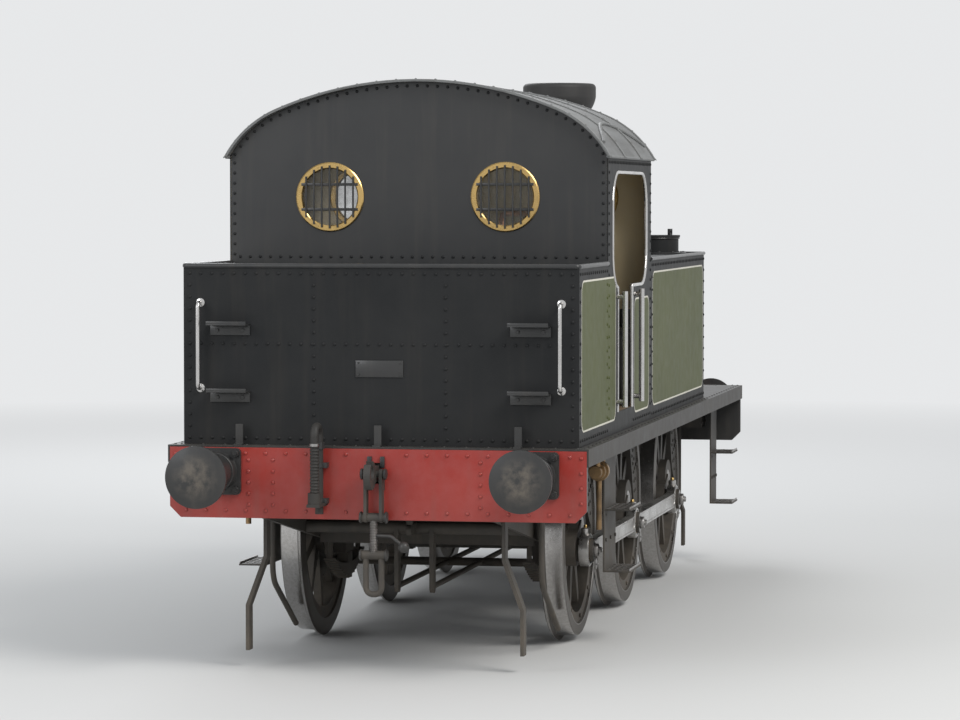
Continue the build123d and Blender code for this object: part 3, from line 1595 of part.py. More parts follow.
# Reversing lever on the right and handbrake column on the left
reverser_x = firebox_rear + 250
reverser_y = firebox_radius + 150
brake_column_x = cab_rear + 190
brake_column_y = 760
with BuildPart() as cab_controls:
    with BuildSketch(side_plane(-reverser_y + 25)):
        with Locations((reverser_x, floor_top + 190)):
            Rectangle(320, 380)
        with Locations((reverser_x, floor_top + 380)):
            Circle(160)
    extrude(amount=50)
    with BuildSketch(side_plane(-reverser_y + 40)):
        with Locations((reverser_x - 40, floor_top + 520)):
            SlotOverall(760, 40, rotation=98)
    extrude(amount=16)
    for bottom, top, radius in ((0, 30, 90), (30, 700, 30), (700, 760, 42)):
        with BuildSketch(Plane.XY.offset(floor_top + bottom)):
            with Locations((brake_column_x, brake_column_y)):
                Circle(radius)
        extrude(amount=top - bottom)
    with BuildSketch(Plane.XY.offset(floor_top + 760)):
        with Locations((brake_column_x + 100, brake_column_y)):
            SlotOverall(280, 36)
    extrude(amount=18)
    with BuildSketch(Plane.XY.offset(floor_top + 778)):
        with Locations((brake_column_x + 215, brake_column_y)):
            Circle(15)
    extrude(amount=110)
pieces["cab_controls"] = cab_controls

# Handrails at the cab doorways
cab_rail_y = tank_outer + 48
cab_rail_low = floor_top + 30
cab_rail_high = waist_z - 20
with BuildPart() as cab_handrails:
    for rail_x in (door_front + 45, door_rear - 45):
        with BuildSketch(Plane.XY.offset(cab_rail_low)):
            with Locations((rail_x, cab_rail_y)):
                Circle(rail_radius)
        extrude(amount=cab_rail_high - cab_rail_low)
        with BuildSketch(side_plane(cab_rail_y)):
            with Locations((rail_x, cab_rail_low + 30), (rail_x, cab_rail_high - 30)):
                Circle(rail_radius - 2)
        extrude(amount=cab_rail_y - tank_outer)
    mirror(about=Plane.XZ)
pieces["cab_handrails"] = cab_handrails

# Handrails along the smokebox and over its door, on knobs
front_rail_radius = door_radius + 80
front_rail_x = smokebox_front + handrail_reach
front_rail_spread = 58
with BuildPart() as boiler_handrails:
    for side in (1, -1):
        with BuildSketch(end_plane(tank_front + 30)):
            with Locations((side * handrail_y, handrail_z)):
                Circle(rail_radius)
        extrude(amount=smokebox_front - tank_front - 60)
        for knob_x, seat in (
            (tank_front + 70, barrel_radius),
            (smokebox_rear + 90, smokebox_radius),
            (smokebox_front - 70, smokebox_radius),
        ):
            outward = Vector(0, side * handrail_y, handrail_z - boiler_z).normalized()
            start = Vector(knob_x, 0, boiler_z) + outward * (seat + seat_gap)
            with BuildSketch(Plane(origin=start, z_dir=outward)):
                Circle(rail_radius - 5)
            extrude(amount=handrail_r - seat)
            with Locations((knob_x, side * handrail_y, handrail_z)):
                Sphere(rail_radius + 9)
    with BuildLine(end_plane(front_rail_x)) as front_rail:
        CenterArc((0, boiler_z), front_rail_radius, 90 - front_rail_spread, 2 * front_rail_spread)
    rail_start = front_rail.line @ 0
    with BuildSketch(Plane(origin=rail_start, z_dir=front_rail.line % 0)):
        Circle(rail_radius)
    sweep(path=front_rail.wires()[0])
    for turn in (90 - front_rail_spread + 3, 90, 90 + front_rail_spread - 3):
        knob_y = front_rail_radius * cos(radians(turn))
        knob_z = boiler_z + front_rail_radius * sin(radians(turn))
        with BuildSketch(end_plane(smokebox_front)):
            with Locations((knob_y, knob_z)):
                Circle(rail_radius - 5)
        extrude(amount=handrail_reach)
        with Locations((front_rail_x, knob_y, knob_z)):
            Sphere(rail_radius + 9)
pieces["boiler_handrails"] = boiler_handrails

# Lamp irons on the front and rear platforms
iron_x = beam_face - 25
with BuildPart() as lamp_irons:
    for iron_y in (-760, 0, 760):
        with BuildSketch(Plane.XY.offset(plate_top)):
            with Locations((iron_x, iron_y)):
                Rectangle(44, 44)
        extrude(amount=8)
        with BuildSketch(Plane.XY.offset(plate_top + 8)):
            with Locations((iron_x - 18, iron_y)):
                Rectangle(8, 40)
        extrude(amount=104)
    mirror(about=Plane.YZ)
pieces["lamp_irons"] = lamp_irons

for label, piece in pieces.items():
    piece.part.label = label
    export_step(piece.part, f"parts/{label}.step")
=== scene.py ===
"""Looks for a small six-coupled side-tank steam locomotive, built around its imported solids.

Metres. X points to the chimney end, Y to the left-hand side, Z up, as in the frame.
"""
import json
from math import atan2, ceil, cos, degrees, pi, radians, sin, sqrt, tan

import bmesh
import bpy
from mathutils import Matrix, Vector

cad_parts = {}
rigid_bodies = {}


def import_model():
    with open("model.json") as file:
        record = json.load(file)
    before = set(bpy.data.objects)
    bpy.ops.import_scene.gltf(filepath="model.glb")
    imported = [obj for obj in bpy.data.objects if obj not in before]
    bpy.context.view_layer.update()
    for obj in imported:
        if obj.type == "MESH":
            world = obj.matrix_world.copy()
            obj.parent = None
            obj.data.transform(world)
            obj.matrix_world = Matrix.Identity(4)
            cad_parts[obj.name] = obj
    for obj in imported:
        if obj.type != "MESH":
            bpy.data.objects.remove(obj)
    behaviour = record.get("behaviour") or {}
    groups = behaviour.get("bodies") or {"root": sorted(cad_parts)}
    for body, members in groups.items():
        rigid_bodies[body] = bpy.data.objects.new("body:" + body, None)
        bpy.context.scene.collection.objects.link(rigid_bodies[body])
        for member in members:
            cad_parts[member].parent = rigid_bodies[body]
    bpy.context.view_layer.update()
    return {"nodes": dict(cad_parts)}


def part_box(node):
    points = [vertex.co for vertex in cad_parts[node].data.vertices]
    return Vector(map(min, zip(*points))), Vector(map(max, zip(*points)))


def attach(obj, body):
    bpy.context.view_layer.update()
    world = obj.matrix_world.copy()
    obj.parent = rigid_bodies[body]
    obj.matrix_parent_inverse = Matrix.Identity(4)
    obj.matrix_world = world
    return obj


bl_info = {
    "name": "Small Tank Locomotive",
    "version": (1, 0, 0),
    "blender": (4, 5, 0),
    "location": "3D View > Sidebar > Locomotive",
    "description": "Finishes and small fittings for a six-coupled side-tank steam locomotive",
    "category": "Object",
}

for leftover in list(bpy.data.objects):
    bpy.data.objects.remove(leftover)
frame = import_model()

# Places and sizes of the main parts; those of the sheets and plates are read from the frame
tank_low, tank_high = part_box("side_tanks")
cab_low, cab_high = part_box("cab_sides")
roof_low, roof_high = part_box("cab_roof")
smoke_low, smoke_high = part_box("smokebox")
firebox_low, firebox_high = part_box("firebox")
beam_low, beam_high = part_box("buffer_beams")
chimney_low, chimney_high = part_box("chimney")

plate_top, tank_top = tank_low.z, tank_high.z
tank_outer, tank_inner = tank_high.y, 0.575
tank_front = tank_high.x
cab_front, cab_rear = cab_high.x, cab_low.x
cab_middle = (cab_front + cab_rear) / 2
bunker_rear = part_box("bunker")[0].x
beam_face = beam_high.x
boiler_z = (smoke_low.z + smoke_high.z) / 2
boiler_radius = 0.545
smoke_radius = (smoke_high.z - smoke_low.z) / 2
smoke_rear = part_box("boiler")[1].x
smoke_front = smoke_rear + 0.700
chimney_x = (chimney_low.x + chimney_high.x) / 2
firebox_rear, firebox_top = firebox_low.x, firebox_high.z
firebox_radius = firebox_top - boiler_z
door_radius, door_face, hinge_x, hinge_y = 0.450, 2.8003, 2.820, 0.505
buffer_y, buffer_z = 0.8635, 1.078
sheet = 0.008
waist_z, floor_top = 2.038, 1.335
opening_top, opening_corner = 2.688, 0.200
opening_front, opening_rear = cab_front - 0.190, cab_rear + 0.170
door_front = cab_front - 0.760
door_rear = door_front - 0.560
window_z, window_radius = 2.548, 0.165
eave_y, eave_z = roof_high.y, roof_low.z
shoulder_y, shoulder_z, shoulder_radius = 0.5613, 2.4737, 0.610
crown_radius, crown_edge = 2.0447, 0.8
crown_z = roof_high.z - crown_radius
axle_z = 0.6375
axles = {"leading": 1.969, "driving": 0.140, "trailing": -1.689}
wheel_face, rim_face, cap_face, pin_end = 0.813, 0.799, 0.8155, 0.926
rod_throw, rod_eye = 0.230, 0.118
rod_back, rod_thickness = 0.850, 0.055
plate_edge, step_face = 1.118, 0.995
clack_x = (tank_front + smoke_rear) / 2
valve_x = -0.475
reverser_x, reverser_y = firebox_rear + 0.250, firebox_radius + 0.150
fore, back, up, down = (1, 0, 0), (-1, 0, 0), (0, 0, 1), (0, 0, -1)


def at(x, y, z):
    return Vector((x, y, z))


def pin_turn(side):
    """The direction of a wheel's crank pin in degrees; the left-hand pins stand a quarter turn ahead."""
    return 205 + (90 if side > 0 else 0)


# Sizes and colours that a user would change


def colour(name, description, default):
    return bpy.props.FloatVectorProperty(name=name, description=description, subtype="COLOR", size=3,
                                         min=0, max=1, default=default)


def length(name, description, low, high, default):
    return bpy.props.FloatProperty(name=name, description=description, subtype="DISTANCE", unit="LENGTH",
                                   min=low, max=high, default=default)


def position(name, description, default):
    return bpy.props.FloatVectorProperty(name=name, description=description, subtype="TRANSLATION",
                                         unit="LENGTH", size=3, default=default)


class PaintSettings(bpy.types.PropertyGroup):
    """Colours of the paints and metals, as the shader takes them."""

    green: colour("Side Green", "Olive green of the tanks and cab sides", (0.082, 0.093, 0.038))
    black: colour("Body Black", "Satin black of the ends, borders and running plate", (0.021, 0.022, 0.023))
    chassis: colour("Chassis Black", "Oily black of everything below the running plate",
                    (0.026, 0.025, 0.024))
    smokebox: colour("Smokebox Black", "Heat-dulled black of the smokebox and chimney",
                     (0.026, 0.026, 0.026))
    roof: colour("Roof Grey", "Grey of the cab roof", (0.17, 0.175, 0.175))
    red: colour("Beam Red", "Red of the buffer beams", (0.33, 0.028, 0.020))
    cream: colour("Cab Cream", "Cream of the inside of the cab", (0.52, 0.43, 0.27))
    line: colour("Line White", "Thin line between the green and its black border", (0.62, 0.60, 0.52))
    dust: colour("Road Dust", "Brown-grey dust and ash that gathers low down", (0.11, 0.093, 0.073))
    border: length("Border Width", "Width of the black border round each green panel", 0.02, 0.2, 0.075)
    line_width: length("Line Width", "Width of the thin line beside the border", 0.003, 0.03, 0.010)


class FixingSettings(bpy.types.PropertyGroup):
    """Rivets, bolts and trim."""

    rivet_radius: length("Rivet Radius", "Radius of a snap-headed rivet", 0.004, 0.02, 0.0095)
    rivet_pitch: length("Rivet Pitch", "Distance between the rivets of a row", 0.03, 0.3, 0.072)
    bolt_radius: length("Bolt Radius", "Half the width across a bolt head's corners", 0.005, 0.04, 0.016)
    beading_radius: length("Beading Radius", "Radius of the half-round beading on sheet edges",
                           0.004, 0.03, 0.011)
    edge_round: length("Edge Round", "Rounding of the edges of plates and castings",
                       0.0005, 0.01, 0.0025)


class StageSettings(bpy.types.PropertyGroup):
    """Floor, lamps and camera."""

    floor: colour("Floor", "Colour of the plain floor", (0.60, 0.60, 0.59))
    background: colour("Background", "Colour behind the floor", (0.80, 0.81, 0.82))
    lens: bpy.props.FloatProperty(
        name="Lens", description="Focal length on a sensor 36 mm wide",
        subtype="DISTANCE_CAMERA", unit="CAMERA", min=20, max=400, default=139)
    standpoint: position("Standpoint", "Where the camera stands", (-22.7, -4.2, 2.53))
    target: position("Target", "What the camera points at", (-0.6, -0.02, 1.56))


def paints():
    return bpy.context.scene.loco_paints


def fixings():
    return bpy.context.scene.loco_fixings


# Shader building


class Graph:
    """Adds nodes to a tree; every method returns the output socket of what it made."""

    def __init__(self, tree):
        self.tree = tree

    def feed(self, socket, value):
        """Links a socket or sets a plain value; a colour is always opaque."""
        if isinstance(value, bpy.types.NodeSocket):
            self.tree.links.new(value, socket)
        else:
            socket.default_value = (*value[:3], 1) if socket.type == "RGBA" else value

    def wire(self, node, values):
        """Feeds a node's sockets, named or numbered."""
        for label, value in values.items():
            self.feed(node.inputs[label], value)

    def node(self, kind, values=None, **settings):
        made = self.tree.nodes.new(kind)
        for name, value in settings.items():
            setattr(made, name, value)
        self.wire(made, values or {})
        return made

    def math(self, operation, *values, clamp=False):
        return self.node("ShaderNodeMath", dict(enumerate(values)), operation=operation,
                         use_clamp=clamp).outputs[0]

    def times(self, first, second):
        return self.math("MULTIPLY", first, second)

    def plus(self, first, second, clamp=False):
        return self.math("ADD", first, second, clamp=clamp)

    def minus(self, first, second):
        return self.math("SUBTRACT", first, second)

    def over(self, value, limit):
        return self.math("GREATER_THAN", value, limit)

    def below(self, value, limit):
        return self.math("LESS_THAN", value, limit)

    def size(self, value):
        return self.math("ABSOLUTE", value)

    def reach(self, across, along):
        """The distance from the origin of two coordinates."""
        return self.math("SQRT", self.plus(self.math("POWER", across, 2.0), self.math("POWER", along, 2.0)))

    def mix(self, factor, first, second):
        return self.node("ShaderNodeMix", {0: factor, 6: first, 7: second}, data_type="RGBA",
                         clamp_factor=True).outputs[2]

    def blend(self, factor, first, second):
        return self.node("ShaderNodeMix", {0: factor, 2: first, 3: second}, data_type="FLOAT",
                         clamp_factor=True).outputs[0]

    def span(self, *values):
        """A value, taken from between two numbers to between two others."""
        return self.node("ShaderNodeMapRange", dict(enumerate(values))).outputs[0]

    def point(self):
        return self.node("ShaderNodeTexCoord").outputs["Object"]

    def axes(self):
        """The point's X, Y and Z on the piece, in the frame's axes."""
        return self.node("ShaderNodeSeparateXYZ", {0: self.point()}).outputs

    def facing(self):
        """The surface normal's X, Y and Z, in the piece's own axes."""
        turned = self.node("ShaderNodeVectorTransform",
                           {0: self.node("ShaderNodeNewGeometry").outputs["Normal"]},
                           vector_type="NORMAL", convert_from="WORLD", convert_to="OBJECT")
        return self.node("ShaderNodeSeparateXYZ", {0: turned.outputs[0]}).outputs

    def noise(self, scale, detail, rough, stretch=(1, 1, 1)):
        """A cloudy pattern on the piece, finer where stretch is large."""
        place = self.node("ShaderNodeMapping", {"Vector": self.point(), "Scale": stretch})
        return self.node("ShaderNodeTexNoise", {"Vector": place.outputs[0], "Scale": scale, "Detail": detail,
                                                "Roughness": rough}).outputs[0]

    def tint(self, base, value, saturation=1.0):
        return self.node("ShaderNodeHueSaturation", {"Color": base, "Value": value,
                                                     "Saturation": saturation}).outputs[0]

    def group(self, name, **values):
        made = self.tree.nodes.new("ShaderNodeGroup")
        made.node_tree = bpy.data.node_groups[name]
        self.wire(made, {label.replace("_", " ").title(): value for label, value in values.items()})
        return made.outputs


def start_group(name, takes, gives):
    """A node group with named sockets. Returns its graph, its inputs and its output node."""
    tree = bpy.data.node_groups.new(name, "ShaderNodeTree")
    for label, value in takes.items():
        kind = "Color" if isinstance(value, tuple) else "Float"
        socket = tree.interface.new_socket(label, in_out="INPUT", socket_type=f"NodeSocket{kind}")
        socket.default_value = value
    for label in gives:
        kind = "Color" if label == "Colour" else "Float"
        tree.interface.new_socket(label, in_out="OUTPUT", socket_type=f"NodeSocket{kind}")
    graph = Graph(tree)
    return graph, graph.node("NodeGroupInput").outputs, graph.node("NodeGroupOutput")


def make_weathering():
    """Uneven paint, dust that thickens towards the ground, and streaks of rain and soot."""
    g, take, give = start_group(
        "Weathering",
        {"Colour": (0.5, 0.5, 0.5, 1), "Dust Colour": (0.1, 0.1, 0.1, 1), "Dust": 0.4, "Streaks": 0.3,
         "Roughness": 0.4, "Reach": 1.5}, ("Colour", "Roughness", "Height"))
    broad, patch = g.noise(2.3, 4.0, 0.6), g.noise(11.0, 5.0, 0.65)
    run = g.noise(1.6, 4.0, 0.6, (9.0, 9.0, 0.55))
    fine = g.noise(160.0, 3.0, 0.6)
    low = g.math("POWER", g.span(g.axes()[2], take["Reach"], 0.15, 0.0, 1.0), 1.6)
    low = g.times(low, g.span(patch, 0.25, 0.75, 0.35, 1.3))
    streak = g.times(g.span(run, 0.50, 0.74), take["Streaks"])
    film = g.times(g.span(broad, 0.35, 0.75), take["Streaks"])
    dirt = g.plus(g.times(low, take["Dust"]), g.times(streak, 0.45))
    dirt = g.plus(dirt, g.times(film, 0.22), clamp=True)
    tint = g.tint(take["Colour"], g.span(broad, 0.2, 0.8, 0.86, 1.13), g.span(patch, 0.2, 0.8, 0.93, 1.06))
    rough = g.plus(take["Roughness"], g.span(patch, 0.2, 0.8, -0.05, 0.07))
    g.wire(give, {"Colour": g.mix(dirt, tint, take["Dust Colour"]), "Roughness": g.blend(dirt, rough, 0.86),
                  "Height": g.plus(g.times(fine, 0.25), g.times(broad, 0.9))})


def make_panel():
    """Masks of a painted panel's border and thin line, on a plane given by two coordinates."""
    g, take, give = start_group(
        "Lined Panel",
        {"Across": 0.0, "Up": 0.0, "Left": 0.0, "Right": 1.0, "Bottom": 0.0, "Top": 1.0, "Border": 0.07,
         "Line": 0.01, "Corner": 0.09}, ("Green", "Stripe"))
    inset = []
    for along, low, high in (("Across", "Left", "Right"), ("Up", "Bottom", "Top")):
        middle = g.times(g.plus(take[low], take[high]), 0.5)
        half = g.minus(g.times(g.minus(take[high], take[low]), 0.5), take["Border"])
        away = g.size(g.minus(take[along], middle))
        inset.append(g.plus(g.minus(away, half), take["Corner"]))
    bend = g.reach(*[g.math("MAXIMUM", gap, 0.0) for gap in inset])
    flat = g.math("MINIMUM", g.math("MAXIMUM", *inset), 0.0)
    distance = g.minus(g.plus(bend, flat), take["Corner"])
    half_line = g.times(take["Line"], 0.5)
    g.wire(give, {"Green": g.below(distance, 0.0),
                  "Stripe": g.below(g.size(g.plus(distance, half_line)), half_line)})


def make_oiled_metal():
    """Bare metal with fine lengthwise scratches and a brown film of old oil."""
    g, take, give = start_group(
        "Oiled Metal",
        {"Colour": (0.5, 0.5, 0.5, 1), "Film Colour": (0.06, 0.045, 0.03, 1), "Film": 0.4, "Roughness": 0.3},
        ("Colour", "Roughness", "Metallic", "Height"))
    broad = g.noise(5.0, 5.0, 0.65)
    scratch = g.noise(3.0, 3.0, 0.6, (3.0, 90.0, 90.0))
    fine = g.noise(220.0, 2.0, 0.5)
    film = g.times(g.span(broad, 0.42, 0.68), take["Film"])
    tone = g.tint(take["Colour"], g.span(scratch, 0.25, 0.75, 0.88, 1.08))
    rough = g.plus(take["Roughness"], g.span(scratch, 0.2, 0.8, -0.05, 0.08))
    g.wire(give, {"Colour": g.mix(film, tone, take["Film Colour"]), "Roughness": g.blend(film, rough, 0.55),
                  "Metallic": g.span(film, 0.0, 1.0, 1.0, 0.35),
                  "Height": g.plus(g.times(scratch, 0.6), fine)})


def start_material(name):
    """A material with one Principled shader. Returns the material, its graph and the shader."""
    material = bpy.data.materials.new(name)
    material.use_nodes = True
    return material, Graph(material.node_tree), material.node_tree.nodes["Principled BSDF"]


def bumped(graph, shader, height, strength, distance=0.002):
    bump = graph.node("ShaderNodeBump", {"Height": height, "Strength": strength, "Distance": distance})
    graph.feed(shader.inputs["Normal"], bump.outputs[0])


def weathered(graph, base, rough, dust, streaks, reach):
    return graph.group("Weathering", colour=base, dust_colour=paints().dust, dust=dust, streaks=streaks,
                       roughness=rough, reach=reach)


def oiled(graph, base, film_colour, film, rough):
    return graph.group("Oiled Metal", colour=base, film_colour=film_colour, film=film, roughness=rough)


def paint_over(name, base, rough, dust, streaks, reach, bump=0.05, coat=0.0, shine=0.45):
    """Painted sheet or casting. base is a colour, or a function that gives a socket from the graph."""
    _, graph, shader = start_material(name)
    worn = weathered(graph, base(graph) if callable(base) else base, rough, dust, streaks, reach)
    graph.wire(shader, {"Base Color": worn["Colour"], "Roughness": worn["Roughness"],
                        "Specular IOR Level": shine, "Coat Weight": coat, "Coat Roughness": 0.12})
    bumped(graph, shader, worn["Height"], bump)


def bare_metal(name, base, rough, film, film_colour=(0.055, 0.04, 0.028)):
    """Machined or worn metal."""
    _, graph, shader = start_material(name)
    worn = oiled(graph, base, film_colour, film, rough)
    graph.wire(shader, {"Base Color": worn["Colour"], "Roughness": worn["Roughness"],
                        "Metallic": worn["Metallic"]})
    bumped(graph, shader, worn["Height"], 0.03, 0.001)


# Mesh building


def shapes(count):
    return [bmesh.new() for _ in range(count)]


def join(shape, part):
    """Adds one bmesh to another and frees it."""
    mesh = bpy.data.meshes.new("part")
    part.to_mesh(mesh)
    part.free()
    shape.from_mesh(mesh)
    bpy.data.meshes.remove(mesh)


def placed(point, axis=up):
    """The matrix that takes Z to axis at a point, and keeps X square to Z as far as it can."""
    out = Vector(axis).normalized()
    for guide in (up, fore, (0, 1, 0)):
        side = Vector(guide).cross(out)
        if side.length > 1e-6:
            break
    side.normalize()
    return Matrix.Translation(Vector(point)) @ Matrix((side, out.cross(side), out)).transposed().to_4x4()


def soften(part, amount, segments=2, above=30):
    """Bevels the edges that turn by more than an angle."""
    sharp = [e for e in part.edges if len(e.link_faces) == 2 and e.calc_face_angle(0) > radians(above)]
    bmesh.ops.bevel(part, geom=sharp, offset=amount, affect="EDGES", segments=segments, profile=0.5,
                    material=-1)


def block(shape, low, high, edge=0.0, turn=None):
    """A box between two corners; turn is a matrix about its middle."""
    low, high = Vector(low), Vector(high)
    part = bmesh.new()
    bmesh.ops.create_cube(part, size=1)
    bmesh.ops.scale(part, vec=[abs(c) for c in high - low], verts=part.verts)
    if edge:
        soften(part, edge)
    if turn is not None:
        bmesh.ops.transform(part, matrix=turn, verts=part.verts)
    bmesh.ops.translate(part, vec=(low + high) / 2, verts=part.verts)
    join(shape, part)


def box_at(shape, middle, half, edge=0.0, turn=None):
    """A box about a middle, reaching half its size each way."""
    middle, half = Vector(middle), Vector(half)
    block(shape, middle - half, middle + half, edge, turn)


def rod(shape, start, end, radius, tip=None, sides=24, edge=0.0):
    """A round bar between two points, tapered if tip is given."""
    start, end = Vector(start), Vector(end)
    part = bmesh.new()
    bmesh.ops.create_cone(part, cap_ends=True, segments=sides, radius1=radius,
                          radius2=radius if tip is None else tip, depth=(end - start).length)
    if edge:
        soften(part, edge, 1, 50)
    bmesh.ops.transform(part, matrix=placed((start + end) / 2, end - start), verts=part.verts)
    join(shape, part)


def lathe(shape, outline, point, axis=up, steps=24):
    """Turns an outline of (radius, height) pairs about an axis through point."""
    part = bmesh.new()
    corners = [part.verts.new((r, 0, h)) for r, h in outline]
    edges = [part.edges.new(pair) for pair in zip(corners, corners[1:])]
    bmesh.ops.spin(part, geom=corners + edges, cent=(0, 0, 0), axis=up, angle=radians(360), steps=steps,
                   use_merge=True)
    bmesh.ops.remove_doubles(part, verts=part.verts, dist=1e-6)
    bmesh.ops.recalc_face_normals(part, faces=part.faces)
    bmesh.ops.transform(part, matrix=placed(point, axis), verts=part.verts)
    join(shape, part)


def bead(shape, point, radius, sunk, proud, high, axis=up, steps=32):
    """A rounded bead round a barrel; proud holds its reach at the shoulder and at the middle."""
    side, middle = radius + proud[0], radius + proud[1]
    edge, shoulder = high
    lathe(shape, ((radius - sunk, -edge), (side, -shoulder), (middle, 0), (side, shoulder),
                  (radius - sunk, edge)), point, axis, steps)


def ball(shape, point, radius, sides=16):
    part = bmesh.new()
    bmesh.ops.create_uvsphere(part, u_segments=sides, v_segments=sides // 2, radius=radius)
    bmesh.ops.translate(part, vec=point, verts=part.verts)
    join(shape, part)


def curve_points(points, bend, closed=False):
    """Rounds the corners of a path with short arcs."""
    points = [Vector(p) for p in points]
    made = []
    for i, corner in enumerate(points):
        if not bend or not closed and i in (0, len(points) - 1):
            made.append(corner)
            continue
        before, after = points[i - 1] - corner, points[(i + 1) % len(points)] - corner
        turn = before.angle(after)
        if pi - turn < 0.02:
            made.append(corner)
            continue
        back_off = min(bend / tan(turn / 2), before.length * 0.48, after.length * 0.48)
        before.normalize()
        after.normalize()
        first, last = corner + before * back_off, corner + after * back_off
        middle = corner + (before + after).normalized() * back_off / cos(turn / 2)
        swing, steps = pi - turn, max(3, ceil((pi - turn) / radians(15)))
        for k in range(steps + 1):
            reach = (first - middle) * sin((1 - k / steps) * swing) + (last - middle) * sin(k / steps * swing)
            made.append(middle + reach / sin(swing))
    return made


def tube(shape, points, radius, bend=None, sides=12, closed=False):
    """A pipe or bead along a path whose corners are rounded to a bend."""
    path = curve_points(points, radius * 3 if bend is None else bend, closed)
    behind = [path[-1] if closed else path[0]] + path[:-1]
    ahead = path[1:] + [path[0] if closed else path[-1]]
    heading = [(b - a).normalized() for a, b in zip(behind, ahead)]
    part = bmesh.new()
    ring = bmesh.ops.create_circle(part, cap_ends=False, segments=sides, radius=radius)["verts"]
    edges = start = part.edges[:]
    turn, last = placed((0, 0, 0), heading[0]).to_3x3(), Matrix()
    for i, here in enumerate(path):
        if i:
            turn = heading[i - 1].rotation_difference(heading[i]).to_matrix() @ turn
            made = bmesh.ops.extrude_edge_only(part, edges=edges)["geom"]
            ring = [g for g in made if isinstance(g, bmesh.types.BMVert)]
            edges = [g for g in made if isinstance(g, bmesh.types.BMEdge) and all(v in ring for v in g.verts)]
        spot = Matrix.Translation(here) @ turn.to_4x4()
        bmesh.ops.transform(part, matrix=spot @ last.inverted(), verts=ring)
        last = spot
    if closed:
        bmesh.ops.bridge_loops(part, edges=start + edges)
    else:
        for end in (start, edges):
            bmesh.ops.contextual_create(part, geom=end)
    bmesh.ops.recalc_face_normals(part, faces=part.faces)
    join(shape, part)


def slab(shape, outline, thickness, point, axis, edge):
    """A plate cut to an outline of (side, up) pairs, thick along axis from point outwards."""
    part = bmesh.new()
    face = part.faces.new([part.verts.new((x, y, 0)) for x, y in outline])
    made = bmesh.ops.extrude_face_region(part, geom=[face])["geom"]
    bmesh.ops.translate(part, vec=(0, 0, thickness),
                        verts=[g for g in made if isinstance(g, bmesh.types.BMVert)])
    bmesh.ops.recalc_face_normals(part, faces=part.faces)
    soften(part, edge, 1, 40)
    bmesh.ops.transform(part, matrix=placed(point, axis), verts=part.verts)
    join(shape, part)


# Rows of points and the heads of rivets and bolts on them


def arc(radius, start, end, steps, centre=(0, 0)):
    """Points (a, b) on an arc, angles in degrees."""
    turns = [radians(start + (end - start) * i / steps) for i in range(steps + 1)]
    return [(centre[0] + radius * cos(a), centre[1] + radius * sin(a)) for a in turns]


def ring(middle, radius, count, first=0.0, axis=2):
    """Points evenly round a circle square to an axis; the first angle is in degrees."""
    made = []
    for a, b in arc(radius, first, first + 360, count)[:-1]:
        offset = [a, b]
        offset.insert(axis, 0)
        made.append(Vector(middle) + Vector(offset))
    return made


def line_up(start, end, pitch, ends=True):
    """Points along a line at about a pitch."""
    start, end = Vector(start), Vector(end)
    count = max(1, round((end - start).length / pitch))
    points = [start.lerp(end, i / count) for i in range(count + 1)]
    return points if ends else points[1:-1]


def spread(points, pitch):
    """Points at an even pitch along a path."""
    points = [Vector(p) for p in points]
    lengths = [0.0]
    for a, b in zip(points, points[1:]):
        lengths.append(lengths[-1] + (b - a).length)
    count = max(1, round(lengths[-1] / pitch))
    made, i = [], 0
    for k in range(count + 1):
        want = lengths[-1] * k / count
        while i < len(points) - 2 and lengths[i + 1] < want:
            i += 1
        made.append(points[i].lerp(points[i + 1], (want - lengths[i]) / (lengths[i + 1] - lengths[i])))
    return made


def round_row(x, radius, start, end, pitch):
    """Points round the boiler's axis, angles in degrees from the left-hand side."""
    count = max(1, round(radians(abs(end - start)) * radius / pitch))
    return [(x, y, z) for y, z in arc(radius, start, end, count, (0, boiler_z))]


def on_barrel(x, radius, turn):
    return at(x, radius * cos(radians(turn)), boiler_z + radius * sin(radians(turn)))


def off_barrel(place):
    """The direction away from the boiler's axis."""
    return Vector((0, place[1], place[2] - boiler_z))


head_shapes = {}


def head_shape(kind):
    """A rivet, a hex head or a nut on a stud, of radius 1, standing on the XY plane."""
    if kind not in head_shapes:
        part = bmesh.new()
        if kind == "rivet":
            bmesh.ops.create_uvsphere(part, u_segments=10, v_segments=8, radius=1)
            bmesh.ops.bisect_plane(part, geom=part.verts[:] + part.edges[:] + part.faces[:],
                                   plane_co=(0, 0, -0.01), plane_no=down, clear_outer=True)
            bmesh.ops.scale(part, vec=(1, 1, 0.68), verts=part.verts)
        else:
            high = 0.75 if kind == "hex" else 0.8
            bmesh.ops.create_cone(part, cap_ends=True, segments=6, radius1=1, radius2=1, depth=high)
            bmesh.ops.translate(part, vec=(0, 0, high / 2), verts=part.verts)
            soften(part, 0.09, 1)
        if kind == "stud":
            rod(part, (0, 0, 0.7), (0, 0, 1.2), 0.5, 0.44, 8)
        head_shapes[kind] = bpy.data.meshes.new("head")
        part.to_mesh(head_shapes[kind])
        part.free()
    return head_shapes[kind]


def heads(shape, points, axis, radius=None, kind="hex"):
    """Heads on points. axis is a direction, or a function from point to direction."""
    mesh = head_shape(kind)
    if radius is None:
        radius = fixings().rivet_radius if kind == "rivet" else fixings().bolt_radius
    size = Matrix.Diagonal((radius, radius, radius, 1))
    row = bmesh.new()
    for point in points:
        start = len(row.verts)
        row.from_mesh(mesh)
        row.verts.ensure_lookup_table()
        out = axis(point) if callable(axis) else axis
        bmesh.ops.transform(row, matrix=placed(point, out) @ size, verts=row.verts[start:])
    join(shape, row)


def rivet(shape, points, axis, radius=None):
    heads(shape, points, axis, radius, "rivet")


